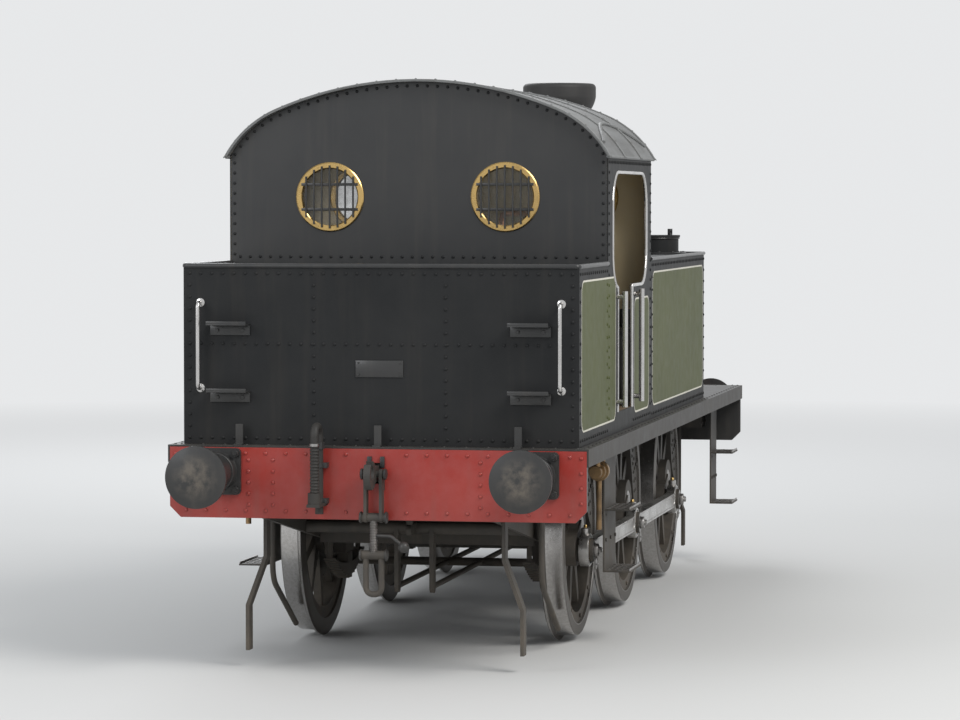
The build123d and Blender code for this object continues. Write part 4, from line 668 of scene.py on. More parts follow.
def rivet_line(shape, start, end, pitch, axis, ends=True, radius=None):
    rivet(shape, line_up(start, end, pitch, ends), axis, radius)


def land(node, start, way):
    """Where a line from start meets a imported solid, and the direction square to it there."""
    hit, spot, out, _ = frame["nodes"][node].ray_cast(Vector(start), Vector(way))
    if not hit:
        raise RuntimeError(f"nothing of {node} lies that way from {tuple(start)}")
    return spot, out


def heads_on(shape, node, starts, way, radius=None, kind="rivet", near=0.25):
    """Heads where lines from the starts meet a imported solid's face within a short reach."""
    for start in starts:
        hit, spot, out, _ = frame["nodes"][node].ray_cast(Vector(start), Vector(way), distance=near)
        if hit and out.angle(-Vector(way)) < 0.9:
            heads(shape, [spot], out, radius, kind)


def handhold(shape, start, along, length, out, radius=0.011, reach=0.06):
    """A grab rail with a flanged foot at each end."""
    start, out = Vector(start), Vector(out)
    end = start + Vector(along) * length
    tube(shape, (start - out * 0.002, start + out * reach, end + out * reach, end - out * 0.002), radius,
         radius * 2.4, sides=14)
    for foot in (start, end):
        lathe(shape, ((0, -0.002), (radius * 2.1, -0.002), (radius * 2.1, 0.004), (radius * 1.7, 0.006),
                      (radius, 0.008)), foot, out, 18)


def settle(name, shape, material, body="engine"):
    """Makes a piece of a shape, gives it its material and its body."""
    mesh = bpy.data.meshes.new(name)
    shape.to_mesh(mesh)
    shape.free()
    mesh.set_sharp_from_angle(angle=radians(38))
    piece = bpy.data.objects.new(name, mesh)
    bpy.context.scene.collection.objects.link(piece)
    mesh.materials.append(bpy.data.materials[material])
    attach(piece, body)


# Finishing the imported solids


def make_shading_trees():
    """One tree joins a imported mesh's loose corners and drops its stored normals, so that it can be
    bevelled; the other marks the edges that turn by more than 32 degrees as sharp."""
    for name in ("Clean Shading", "Sharp Edges"):
        tree = bpy.data.node_groups.new(name, "GeometryNodeTree")
        for way in ("INPUT", "OUTPUT"):
            tree.interface.new_socket("Geometry", in_out=way, socket_type="NodeSocketGeometry")
        g = Graph(tree)
        flow = g.node("NodeGroupInput").outputs[0]
        smooth = g.node("GeometryNodeSetShadeSmooth")
        if name == "Clean Shading":
            drop = g.node("GeometryNodeRemoveAttribute", {"Geometry": flow, "Name": "custom_normal"})
            flow = g.node("GeometryNodeMergeByDistance",
                          {"Geometry": drop.outputs[0], "Distance": 0.00002}).outputs[0]
        else:
            smooth.domain = "EDGE"
            angle = g.node("GeometryNodeInputMeshEdgeAngle").outputs[0]
            wide = g.node("FunctionNodeCompare", {0: angle, 1: radians(32)}, operation="LESS_EQUAL")
            g.wire(smooth, {"Shade Smooth": wide.outputs[0]})
        g.wire(smooth, {"Geometry": flow})
        g.node("NodeGroupOutput", {0: smooth.outputs[0]})


def modify(piece, name, kind, **settings):
    made = piece.modifiers.new(name, kind)
    for key, value in settings.items():
        setattr(made, key, value)


def round_edges(piece, width):
    """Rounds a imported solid's edges and flattens the shading of its faces."""
    modify(piece, "clean", "NODES", node_group=bpy.data.node_groups["Clean Shading"])
    if width:
        modify(piece, "edges", "BEVEL", limit_method="ANGLE", angle_limit=radians(34), width=width,
               segments=2, use_clamp_overlap=True, miter_outer="MITER_ARC")
    modify(piece, "sharp", "NODES", node_group=bpy.data.node_groups["Sharp Edges"])
    modify(piece, "flat", "WEIGHTED_NORMAL", keep_sharp=True, weight=60)


# Materials


def side_panels(g):
    """Green panels with a thin line on the outsides of the tank, cab and bunker, black elsewhere."""
    axes = g.axes()
    masks = [g.group("Lined Panel", across=axes[0], up=axes[2], left=left, right=right, bottom=plate_top,
                     top=top, border=paints().border, line=paints().line_width, corner=0.075)
             for left, right, top in ((cab_front, tank_front, tank_top), (door_front, cab_front, waist_z),
                                      (bunker_rear, door_rear, tank_top))]
    green, stripe = masks[0][:2]
    for mask in masks[1:]:
        green, stripe = g.math("MAXIMUM", green, mask[0]), g.math("MAXIMUM", stripe, mask[1])
    panels = g.mix(stripe, g.mix(green, paints().black, paints().green), paints().line)
    shell = g.over(g.size(axes[1]), tank_outer - 0.004)
    return g.mix(shell, paints().black, panels)


def inside_colour(g, axes):
    """Cream above the waist and black below it."""
    return g.mix(g.over(axes[2], waist_z - 0.16), paints().black, paints().cream)


def looks_in(g, facing, place):
    """1 where a face looks towards the middle of the cab."""
    return g.below(g.times(facing, g.math("SIGN", place)), -0.5)


def cab_side_colour(g):
    """Green panels outside, the cab's inside colours on the faces that look into it."""
    axes, facing = g.axes(), g.facing()
    return g.mix(looks_in(g, facing[1], axes[1]), side_panels(g), inside_colour(g, axes))


def cab_end_colour(g):
    """Black outside, the cab's inside colours on the faces that look into it."""
    axes, facing = g.axes(), g.facing()
    inner = looks_in(g, facing[0], g.minus(axes[0], cab_middle))
    return g.mix(inner, paints().black, inside_colour(g, axes))


def roof_colour(g):
    """Grey above with soot washed down from the middle; cream underneath."""
    axes = g.axes()
    under = g.below(g.facing()[2], -0.1)
    for place, reach in ((axes[1], tank_outer - sheet),
                         (g.minus(axes[0], cab_middle), (cab_front - cab_rear) / 2)):
        under = g.times(under, g.below(g.size(place), reach))
    dark = g.times(g.span(g.noise(1.3, 5.0, 0.62, (0.7, 6.0, 6.0)), 0.42, 0.74), 0.55)
    dark = g.plus(dark, g.times(g.span(g.noise(3.1, 5.0, 0.6), 0.45, 0.8), 0.30))
    return g.mix(under, g.mix(dark, paints().roof, (0.045, 0.043, 0.040)), paints().cream)


def beam_colour(g):
    """Red on the outer faces of the beams, black elsewhere."""
    outer = g.over(g.times(g.facing()[0], g.math("SIGN", g.axes()[0])), 0.4)
    return g.mix(outer, paints().black, paints().red)


def floor_boards(g):
    """Planks across the cab, with dark gaps and a long grain."""
    board = g.math("FRACT", g.math("DIVIDE", g.axes()[0], 0.16))
    plank = g.below(g.size(g.minus(board, 0.5)), 0.465)
    grain = g.span(g.noise(2.4, 5.0, 0.6, (30.0, 1.6, 30.0)), 0.3, 0.7)
    return g.mix(plank, (0.02, 0.016, 0.012), g.mix(grain, (0.10, 0.066, 0.036), (0.19, 0.13, 0.075)))


def buffer_face(g):
    """Black, with old grease on the head and a ring rubbed bare by the next buffer."""
    axes = g.axes()
    reach = g.reach(g.minus(g.size(axes[1]), buffer_y), g.minus(axes[2], buffer_z))
    head = g.over(g.size(axes[0]), 3.9225)
    smear = g.noise(3.0, 5.0, 0.62, (1.0, 5.0, 5.0))
    rubbed = g.times(g.span(reach, 0.135, 0.060), g.span(smear, 0.40, 0.62))
    return g.mix(g.times(g.times(rubbed, head), 0.75), paints().black, (0.135, 0.115, 0.092))


def tyre_metal(name):
    """A tyre: bright on the tread and flange, dull and oily on its faces."""
    _, g, shader = start_material(name)
    side = g.span(g.size(g.facing()[1]), 0.45, 0.8)
    broad, fine = g.noise(6.0, 5.0, 0.65), g.noise(60.0, 4.0, 0.6)
    oil = g.mix(g.span(broad, 0.3, 0.75), (0.050, 0.045, 0.040), (0.105, 0.095, 0.082))
    bright = g.mix(g.span(fine, 0.3, 0.8), (0.50, 0.49, 0.48), (0.36, 0.345, 0.33))
    rough = g.blend(side, g.span(fine, 0.2, 0.8, 0.16, 0.30), g.span(broad, 0.2, 0.8, 0.40, 0.62))
    g.wire(shader, {"Base Color": g.mix(side, bright, oil), "Metallic": g.blend(side, 1.0, 0.45),
                    "Roughness": rough})
    bumped(g, shader, fine, 0.06, 0.001)


def backhead_metal(name):
    """Brass gauges and handles above; black iron fire doors below."""
    _, g, shader = start_material(name)
    low = g.below(g.axes()[2], 1.78)
    worn = oiled(g, (0.60, 0.41, 0.16), (0.07, 0.045, 0.02), 0.4, 0.24)
    iron = weathered(g, (0.030, 0.028, 0.026), 0.5, 0.4, 0.4, 1.9)
    g.wire(shader, {"Base Color": g.mix(low, worn["Colour"], iron["Colour"]),
                    "Metallic": g.blend(low, worn["Metallic"], 0.4),
                    "Roughness": g.blend(low, worn["Roughness"], iron["Roughness"])})
    bumped(g, shader, worn["Height"], 0.05)


def window_glass(name):
    """Old window glass: clear with a dusty film."""
    _, g, shader = start_material(name)
    film = g.span(g.noise(9.0, 5.0, 0.65), 0.35, 0.8, 0.10, 0.34)
    edge = g.node("ShaderNodeFresnel", {"IOR": 1.5}).outputs[0]
    g.wire(shader, {"Base Color": (0.20, 0.21, 0.20), "Alpha": g.plus(film, edge, clamp=True),
                    "Roughness": g.span(film, 0.1, 0.34, 0.05, 0.3)})


def dial_face(name):
    """A plain white gauge face, slightly yellowed and dusty."""
    _, g, shader = start_material(name)
    mark = g.span(g.noise(30.0, 4.0, 0.6), 0.3, 0.8)
    g.wire(shader, {"Base Color": g.mix(mark, (0.72, 0.70, 0.62), (0.50, 0.47, 0.38)), "Roughness": 0.35,
                    "Coat Weight": 0.6})


def make_materials():
    black, soot = paints().black, paints().smokebox
    # Each row: name, colour, roughness, dust, streaks, height the dust reaches, bump, coat, shine
    for row in (
            ("Side Paint", side_panels, 0.5, 0.30, 0.16, 1.6, 0.05, 0.0, 0.12),
            ("Cab Side Paint", cab_side_colour, 0.5, 0.30, 0.16, 1.6, 0.05, 0.0, 0.12),
            ("Cab End Paint", cab_end_colour, 0.36, 0.30, 0.24, 1.7, 0.05, 0.15),
            ("Body Black Paint", black, 0.36, 0.45, 0.26, 1.9, 0.05, 0.2),
            ("Plate Black Paint", black, 0.48, 0.70, 0.35, 1.9),
            ("Chassis Paint", paints().chassis, 0.52, 0.80, 0.45, 1.5, 0.10),
            ("Boiler Paint", black, 0.33, 0.25, 0.30, 1.9, 0.05, 0.25),
            ("Smokebox Paint", soot, 0.58, 0.25, 0.40, 1.8, 0.14),
            ("Roof Paint", roof_colour, 0.55, 0.15, 0.25, 1.8, 0.10),
            ("Beam Red Paint", beam_colour, 0.36, 0.45, 0.30, 1.35, 0.05, 0.2),
            ("Buffer Black Paint", buffer_face, 0.40, 0.4, 0.30, 1.4, 0.05, 0.10),
            ("Roof Strip Paint", paints().roof, 0.55, 0.15, 0.5, 1.8, 0.08),
            ("Floor Wood", floor_boards, 0.75, 0.5, 0.3, 1.9, 0.2),
            ("Rubber Hose", (0.016, 0.016, 0.016), 0.62, 0.6, 0.4, 1.6, 0.12)):
        paint_over(*row)
    # Each row: name, colour, roughness, share of old oil and its colour
    for row in (
            ("Bright Steel", (0.50, 0.49, 0.475), 0.26, 0.45),
            ("Worn Steel", (0.36, 0.35, 0.34), 0.36, 0.7),
            ("Rail Steel", (0.62, 0.61, 0.60), 0.17, 0.22),
            ("Brass", (0.60, 0.41, 0.16), 0.22, 0.35, (0.07, 0.045, 0.02)),
            ("Copper", (0.60, 0.27, 0.14), 0.27, 0.4, (0.06, 0.03, 0.02)),
            ("Dull Bronze", (0.34, 0.22, 0.11), 0.38, 0.75, (0.05, 0.037, 0.025))):
        bare_metal(*row)
    tyre_metal("Tyre Steel")
    backhead_metal("Backhead Metal")
    window_glass("Window Glass")
    dial_face("Dial Face")


tyres = ("driving_tyres", "leading_tyres", "trailing_tyres")
finishes = {
    "Side Paint": ("side_tanks", "bunker", "filler_necks", "filler_lid_left", "filler_lid_right"),
    "Cab Side Paint": ("cab_sides",),
    "Cab End Paint": ("cab_front", "cab_back"),
    "Body Black Paint": ("splashers", "lamp_irons"),
    "Plate Black Paint": ("running_plate", "footsteps"),
    "Roof Paint": ("cab_roof",),
    "Floor Wood": ("cab_floor",),
    "Beam Red Paint": ("buffer_beams",),
    "Buffer Black Paint": ("buffers",),
    "Boiler Paint": ("boiler", "dome", "firebox"),
    "Smokebox Paint": ("smokebox", "smokebox_saddle", "chimney", "smokebox_door"),
    "Chassis Paint": ("frame_plates", "frame_stretchers", "axleboxes", "springs", "brake_gear",
                      "brake_cylinder", "guard_irons", "sandboxes", "ashpan", "cylinders", "drawhooks",
                      "screw_couplings", "driving_centres", "leading_centres", "trailing_centres"),
    "Rubber Hose": ("brake_pipes",),
    "Worn Steel": ("slide_bars", "crossheads", "driving_axle", "leading_axle", "trailing_axle",
                   "cab_controls"),
    "Dull Bronze": ("injectors",),
    "Backhead Metal": ("backhead_fittings",),
    "Tyre Steel": tyres,
    "Bright Steel": ("coupling_rod_left", "coupling_rod_right"),
    "Rail Steel": ("cab_handrails", "boiler_handrails"),
    "Brass": ("safety_valves", "whistle", "clack_valves"),
}
edge_sizes = {"cab_handrails": 0.0008, "boiler_handrails": 0.0008, "whistle": 0.0008,
              "brake_pipes": 0.0012, "screw_couplings": 0.0015, "safety_valves": 0.0012,
              "cab_roof": 0.0020, "cab_sides": 0.0015, "cab_front": 0.0015, "cab_back": 0.0015}


# Tanks, cab and bunker


def roof_line(lift):
    """Points (y, z) over the roof from the left eave to the right, lifted off the sheet."""
    edge_turn = degrees(atan2(sqrt(crown_radius ** 2 - crown_edge ** 2), crown_edge))
    eave_turn = degrees(atan2(eave_z - shoulder_z + sheet / 2, eave_y - shoulder_y))
    left = arc(shoulder_radius + lift, eave_turn, edge_turn, 10, (shoulder_y, shoulder_z))
    top = arc(crown_radius + lift, edge_turn, 180 - edge_turn, 20, (0, crown_z))
    return left + top[1:-1] + [(-y, z) for y, z in reversed(left)]


def roof_out(place):
    """The direction square to the roof at a place."""
    if abs(place.y) > crown_edge:
        return at(0, place.y - (shoulder_y if place.y > 0 else -shoulder_y), place.z - shoulder_z)
    return at(0, place.y, place.z - crown_z)


def cab_opening():
    """The path (x, z) round a cab side's doorway and opening, from the foot of the front post."""
    corner = opening_corner
    path = [(door_front, floor_top), (door_front, waist_z)]
    for start, end, x, z in ((270, 360, opening_front - corner, waist_z + corner),
                             (0, 90, opening_front - corner, opening_top - corner),
                             (90, 180, opening_rear + corner, opening_top - corner),
                             (180, 266, opening_rear + corner, waist_z + corner)):
        path += arc(corner, start, end, 8, (x, z))
    return path + [(door_rear, waist_z), (door_rear, floor_top)]


class LOCO_OT_tanks(bpy.types.Operator):
    """Rivets, beading, vents and lifting eyes of the side tanks"""

    bl_idname = "loco.tanks"
    bl_label = "Tank Fittings"

    def execute(self, context):
        pitch = fixings().rivet_pitch
        rivets, trim, caps = shapes(3)
        rear, front = cab_front + 0.045, tank_front - 0.045
        for side in (1, -1):
            y, inner, out = side * tank_outer, side * tank_inner, (0, side, 0)
            # Rows round the outer side, then on the front end and along the top
            lower, upper = plate_top + 0.032, tank_top - 0.036
            for z in (lower, upper):
                rivet_line(rivets, (rear, y, z), (front, y, z), pitch, out)
            for x in (rear, front):
                rivet_line(rivets, (x, y, lower), (x, y, upper), pitch, out, False)
            lower, upper = plate_top + 0.045, tank_top - 0.04
            edges = side * (tank_inner + 0.04), side * (tank_outer - 0.045)
            for z in (lower, upper):
                row = line_up((tank_front + 0.01, edges[0], z), (tank_front + 0.01, edges[1], z), pitch)
                heads_on(rivets, "side_tanks", row, back, near=0.03)
            for across in edges:
                rivet_line(rivets, (tank_front, across, lower), (tank_front, across, upper), pitch, fore, False)
                rivet_line(rivets, (rear, across, tank_top), (front, across, tank_top), pitch, up)
            tube(trim, ((cab_front, y, tank_top), (tank_front, y, tank_top), (tank_front, inner, tank_top),
                        (cab_front, inner, tank_top)), fixings().beading_radius, 0.025, sides=10)
            # Lifting eyes, the vent, and the filler neck's bolted flange and rim
            for x in (-0.30, 0.72):
                eye = at(x, side * 0.80, tank_top)
                box_at(caps, eye + at(0, 0, 0.005), (0.045, 0.03, 0.007), 0.003)
                tube(caps, ring(eye + at(0, 0, 0.036), 0.032, 12, axis=1), 0.009, 0, sides=8, closed=True)
                heads(caps, [eye + at(k * 0.034, j * 0.02, 0.012) for k in (-1, 1) for j in (-1, 1)], up, 0.007)
            vent = at(-0.56, side * 0.90, tank_top)
            lathe(caps, ((0, 0), (0.062, 0), (0.062, 0.010), (0.030, 0.014), (0.026, 0.020), (0.026, 0.105),
                         (0.046, 0.110), (0.050, 0.122), (0.044, 0.138), (0.020, 0.150), (0, 0.152)),
                  vent - at(0, 0, 0.002))
            heads(caps, ring(vent + at(0, 0, 0.008), 0.048, 4, 45), up, 0.007)
            neck = at(1.350, side * 0.82, tank_top)
            lathe(trim, ((0.149, 0), (0.200, 0), (0.200, 0.010), (0.196, 0.013), (0.149, 0.013)), neck,
                  steps=48)
            heads(caps, ring(neck + at(0, 0, 0.012), 0.182, 12, 15), up, 0.010)
            lathe(trim, ((0.149, 0.100), (0.156, 0.100), (0.158, 0.104), (0.156, 0.109), (0.149, 0.109)),
                  neck, steps=48)
        settle("tank_rivets", rivets, "Side Paint")
        settle("tank_beading", trim, "Body Black Paint")
        settle("tank_top_fittings", caps, "Body Black Paint")
        return {"FINISHED"}


class LOCO_OT_cab(bpy.types.Operator):
    """Rivets, beading, windows and roof trim of the cab"""

    bl_idname = "loco.cab"
    bl_label = "Cab Trim"

    def execute(self, context):
        rivets, trim, rims, glass, bars, roof = shapes(6)
        self.rivet_sheets(rivets)
        for side in (1, -1):
            tube(trim, [(x, side * (tank_outer - sheet / 2), z) for x, z in cab_opening()],
                 fixings().beading_radius, 0.006, sides=10)
            for x, out, across in ((cab_rear, -1, 0.500), (cab_front, 1, 0.690)):
                self.window(at(x, side * across, window_z), out, rims, glass, bars)
        self.roof_trim(roof)
        settle("cab_rivets", rivets, "Side Paint")
        settle("cab_opening_beading", trim, "Rail Steel")
        settle("window_rims", rims, "Brass")
        settle("window_glass", glass, "Window Glass")
        settle("window_bars", bars, "Body Black Paint")
        settle("roof_strips", roof, "Roof Strip Paint")
        return {"FINISHED"}

    def rivet_sheets(self, rivets):
        """Rows under the roof and at the edges of the end sheets, and round each side."""
        wide = fixings().rivet_pitch
        pitch, eaves, foot = wide * 0.8, 2.742, plate_top + 0.04
        for x, out, runs in ((cab_rear, back, ((-1.02, 1.02),)),
                             (cab_front, fore, ((0.58, 1.02), (-1.02, -0.58)))):
            row = spread([(x, y, z) for y, z in roof_line(-0.030) if abs(y) < tank_outer - 0.02], pitch)
            for side in (1, -1):
                y = side * (tank_outer - 0.028)
                row += line_up((x, y, tank_top + 0.05), (x, y, 2.74), pitch)
            rivet(rivets, row, out)
            for start, end in runs:
                rivet_line(rivets, (x, start, tank_top + 0.035), (x, end, tank_top + 0.035), pitch, out)
        for side in (1, -1):
            y, out = side * tank_outer, (0, side, 0)
            ends = cab_rear + 0.03, cab_front - 0.03
            rivet_line(rivets, (ends[0], y, eaves), (ends[1], y, eaves), pitch, out)
            for x in ends:
                rivet_line(rivets, (x, y, foot), (x, y, eaves), pitch, out, False)
            rivet_line(rivets, (door_front + 0.04, y, foot), (cab_front - 0.04, y, foot), wide, out)

    def window(self, middle, out, rims, glass, bars):
        """A round window in a sheet, with bars outside it at the back."""
        inner, outer = window_radius - 0.006, window_radius + 0.030
        for face, way in ((0, out), (-out * sheet, -out)):
            spot = middle + at(face, 0, 0)
            lathe(rims, ((inner, -0.002), (outer, -0.002), (outer, 0.006), (outer - 0.006, 0.011),
                         (window_radius, 0.011), (inner, 0.006), (inner, -0.002)), spot, (way, 0, 0), 48)
            heads(rims, ring(spot + at(way * 0.009, 0, 0), window_radius + 0.014, 8, 22.5, 0), (way, 0, 0),
                  0.006)
        pane = middle - at(out * sheet / 2, 0, 0)
        rod(glass, pane - at(0.002, 0, 0), pane + at(0.002, 0, 0), window_radius - 0.001, sides=48)
        if out > 0:
            return
        for gap in [k * 0.045 for k in range(-3, 4)]:
            reach = sqrt((window_radius + 0.012) ** 2 - gap ** 2)
            rod(bars, middle + at(-0.016, gap, -reach), middle + at(-0.016, gap, reach), 0.0055, sides=10)
        for level in (-0.07, 0.07):
            reach = sqrt((window_radius + 0.012) ** 2 - level ** 2)
            box_at(bars, middle + at(-0.0115, 0, level), (0.0025, reach, 0.008), 0.001)

    def roof_trim(self, roof):
        """Strips over the sheets' joints, and a rain strip and a rolled edge on each side."""
        for x in (cab_rear - 0.060, -1.870, -1.240, cab_front + 0.022):
            slab(roof, roof_line(0.007) + roof_line(-0.001)[::-1], 0.038, (x, 0, 0), fore, 0.0015)
            rivet(roof, spread([(x + 0.019, y, z) for y, z in roof_line(0.007)], 0.11), roof_out, 0.0075)
        for side in (1, -1):
            rain, lift = [], shoulder_radius + 0.005
            for t in [k / 12 for k in range(13)]:
                lean = radians(38 + 16 * sin(pi * t))
                rain.append((cab_rear + 0.05 + t * (cab_front - cab_rear - 0.10),
                             side * (shoulder_y + lift * cos(lean)), shoulder_z + lift * sin(lean)))
            tube(roof, rain, 0.010, 0.0, sides=8)
            y, z = side * (eave_y - 0.004), eave_z + 0.010
            tube(roof, ((cab_rear - 0.055, y, z), (cab_front + 0.055, y, z)), 0.009, sides=10)


class LOCO_OT_bunker(bpy.types.Operator):
    """Rivets, beading, steps and handholds of the bunker"""

    bl_idname = "loco.bunker"
    bl_label = "Bunker Trim"

    def execute(self, context):
        pitch = fixings().rivet_pitch
        rivets, trim, fittings, rails = shapes(4)
        low, high, wide, rear = plate_top + 0.035, tank_top - 0.040, tank_outer - 0.035, bunker_rear
        for z in (low, 1.760, high):
            rivet_line(rivets, (rear, -wide, z), (rear, wide, z), pitch * 0.85, back)
        for y in (-wide, -0.36, 0.36, wide):
            rivet_line(rivets, (rear, y, low), (rear, y, high), pitch * 0.85, back, False)
        for side in (1, -1):
            y, out = side * tank_outer, (0, side, 0)
            ends = rear + 0.035, cab_rear - 0.035
            for z in (low, high):
                rivet_line(rivets, (ends[0], y, z), (ends[1], y, z), pitch, out)
            for x in ends:
                rivet_line(rivets, (x, y, low), (x, y, high), pitch, out, False)
            # Steps, each a tread, a plate against the sheet and a lip
            step_y = side * 0.82
            for z in (1.50, 1.86):
                box_at(fittings, (rear - 0.0535, step_y, z + 0.0035), (0.0515, 0.11, 0.0035), 0.002)
                box_at(fittings, (rear - 0.007, step_y, z - 0.0255), (0.005, 0.11, 0.0295), 0.002)
                box_at(fittings, (rear - 0.1015, step_y, z + 0.013), (0.0035, 0.11, 0.009), 0.002)
                heads(fittings, [(rear - 0.011, step_y + k * 0.07, z - 0.028) for k in (-1, 1)], back, 0.011)
            handhold(rails, (rear, side * 0.985, 1.98), down, 0.46, back)
        y, start = tank_outer - sheet / 2, cab_rear - 0.004
        tube(trim, ((start, y, tank_top), (rear + sheet / 2, y, tank_top), (rear + sheet / 2, -y, tank_top),
                    (start, -y, tank_top)), fixings().beading_radius + 0.003, 0.02)
        # A plain plate with four screws
        block(fittings, (rear - 0.006, -0.13, 1.585), (rear + 0.001, 0.13, 1.675), 0.002)
        heads(fittings, [(rear - 0.006, k * 0.115, 1.63 + j * 0.032) for k in (-1, 1) for j in (-1, 1)], back,
              0.006)
        settle("bunker_rivets", rivets, "Side Paint")
        settle("bunker_beading", trim, "Body Black Paint")
        settle("bunker_steps", fittings, "Body Black Paint")
        settle("bunker_handholds", rails, "Rail Steel")
        return {"FINISHED"}


# Smokebox, chimney and boiler


class LOCO_OT_smokebox(bpy.types.Operator):
    """Rivets and door fittings of the smokebox"""

    bl_idname = "loco.smokebox"
    bl_label = "Smokebox Fittings"

    def execute(self, context):
        pitch = fixings().rivet_pitch * 0.85
        rivets, plug, door, bright = shapes(4)
        for x in (smoke_rear + 0.028, smoke_front - 0.028):
            rivet(rivets, round_row(x, smoke_radius, -26, 206, pitch), off_barrel)
        rivet(rivets, round_row(smoke_front, smoke_radius - 0.034, 0, 360, pitch), fore)
        rivet(rivets, round_row(smoke_front, door_radius + 0.038, 0, 360, pitch * 1.3), fore, 0.007)
        # The saddle's two sides and its front
        for start, end, way in (((2.19, 0.70), (2.69, 0.70), (0, -1, 0)),
                                ((2.19, -0.70), (2.69, -0.70), (0, 1, 0)),
                                ((2.80, -0.50), (2.80, 0.50), back)):
            for z in (plate_top + 0.040, 1.400):
                heads_on(rivets, "smokebox_saddle", line_up((*start, z), (*end, z), pitch), way)
        # The door's rim, its straps and hinge nuts, its middle and a ring of rivets
        lathe(bright, ((door_radius - 0.004, 0.009), (door_radius + 0.010, 0.009), (door_radius + 0.012, 0.014),
                       (door_radius + 0.006, 0.020), (door_radius - 0.004, 0.018)),
              (door_face - 0.014, 0, boiler_z), fore, 96)
        ahead, strap_gap = 3.4, 0.200
        for z in (boiler_z - strap_gap, boiler_z + strap_gap):
            for y in (0.40, 0.30, 0.18, 0.05, -0.08):
                place, out = land("smokebox_door", (ahead, y, z), back)
                rivet(door, [place], out, 0.012)
            for way in (1, -1):
                heads(door, [(hinge_x, hinge_y, z + way * 0.036)], (0, 0, way), 0.017)
        place, _ = land("smokebox_door", (ahead, 0.0, boiler_z), back)
        lathe(bright, ((0, 0), (0.020, 0), (0.020, 0.006), (0.012, 0.010), (0, 0.011)), place, fore, 20)
        for start in ring((ahead, 0, boiler_z), 0.34, 8, 22.5, 0):
            place, out = land("smokebox_door", start, back)
            rivet(door, [place], out, 0.008)
        place = on_barrel(smoke_rear + 0.35, smoke_radius + 0.001, 35)
        lathe(plug, ((0, 0), (0.034, 0), (0.034, 0.010), (0.020, 0.014), (0.018, 0.030), (0, 0.032)), place,
              off_barrel(place))
        settle("smokebox_rivets", rivets, "Smokebox Paint")
        settle("smokebox_plug", plug, "Smokebox Paint")
        settle("smokebox_door_rivets", door, "Smokebox Paint", "door")
        settle("smokebox_door_rim", bright, "Worn Steel", "door")
        return {"FINISHED"}


class LOCO_OT_smokebox_inside(bpy.types.Operator):
    """Tube ends, steam pipes, petticoat and door baffle, seen when the smokebox door is open"""

    bl_idname = "loco.smokebox_inside"
    bl_label = "Smokebox Inside"

    def execute(self, context):
        tubes, pipes, baffle = shapes(3)
        plate = land("smokebox", (door_face, 0.2, boiler_z), back)[0].x
        # Tube ends in staggered rows
        for row in range(-6, 4):
            for column in range(-7, 8):
                y, z = (column + (row % 2) / 2) * 0.070, row * 0.0606 + 0.02
                if y * y + z * z < 0.43 ** 2:
                    lathe(tubes, ((0.019, -0.001), (0.019, 0.005), (0.026, 0.004), (0.027, -0.001)),
                          (plate, y, boiler_z + z), fore, 12)
        # Steam pipes, each with a collar at its foot and a bolted flange at its head
        for side in (1, -1):
            foot, out = land("smokebox", (plate + 0.14, side * 0.27, boiler_z - 0.2), down)
            head = at(plate, side * 0.09, boiler_z + 0.36)
            tube(pipes, (head - at(0.01, 0, 0), head + at(0.09, 0, 0), head + at(0.11, side * 0.34, -0.18),
                         head + at(0.12, side * 0.37, -0.46), foot - 0.004 * out), 0.048, 0.16, sides=20)
            lathe(pipes, ((0.040, -0.01), (0.080, -0.01), (0.080, 0.016), (0.062, 0.020), (0.057, 0.05),
                          (0.040, 0.05)), foot, out, 28)
            lathe(pipes, ((0.048, 0), (0.085, 0), (0.085, 0.018), (0.048, 0.022)), head, fore, 28)
            heads(pipes, ring(head + at(0.018, 0, 0), 0.067, 6, axis=0), fore, 0.011)
        # The petticoat under the chimney
        lathe(pipes, ((0.184, 0), (0.190, 0), (0.152, 0.07), (0.137, 0.20), (0.137, 0.30), (0.172, 0.30),
                      (0.172, 0.325), (0.130, 0.325), (0.130, 0.20), (0.145, 0.07), (0.184, 0)),
              (chimney_x, 0, boiler_z + 0.25), steps=40)
        # The door's baffle on its stays, and the spindle with its locking bar
        disc = at(door_face - 0.028, 0, boiler_z)
        lathe(baffle, ((0, 0), (0.376, 0), (0.380, 0.003), (0.376, 0.006), (0, 0.006)), disc, fore, 64)
        for stay in ring(disc, 0.29, 6, 30, 0):
            face, _ = land("smokebox_door", stay, fore)
            rod(baffle, stay, face + at(0.002, 0, 0), 0.011, sides=12)
            heads(baffle, [stay], back, 0.018)
        spindle = at(door_face - 0.130, 0, boiler_z)
        rod(baffle, spindle, spindle + at(0.185, 0, 0), 0.018, sides=20, edge=0.002)
        box_at(baffle, spindle, (0.012, 0.014, 0.048), 0.004)
        lathe(baffle, ((0.018, 0), (0.050, 0), (0.050, 0.010), (0.018, 0.014)), disc, back, 28)
        settle("smokebox_tubes", tubes, "Worn Steel")
        settle("smokebox_pipes", pipes, "Smokebox Paint")
        settle("smokebox_door_baffle", baffle, "Smokebox Paint", "door")
        return {"FINISHED"}


class LOCO_OT_chimney(bpy.types.Operator):
    """Rivets and beads of the chimney"""

    bl_idname = "loco.chimney"
    bl_label = "Chimney Fittings"

    def execute(self, context):
        beads, rivets = shapes(2)
        for z, radius in ((3.132, 0.2065), (2.624, 0.1965)):
            bead(beads, (chimney_x, 0, z), radius, 0.006, (0.004, 0.008), (0.010, 0.008), steps=72)
        for start in ring((chimney_x, 0, 3.0), 0.297, 18, 10):
            place, out = land("chimney", start, down)
            rivet(rivets, [place], out, 0.011)
        settle("chimney_beads", beads, "Smokebox Paint")
        settle("chimney_rivets", rivets, "Smokebox Paint")
        return {"FINISHED"}


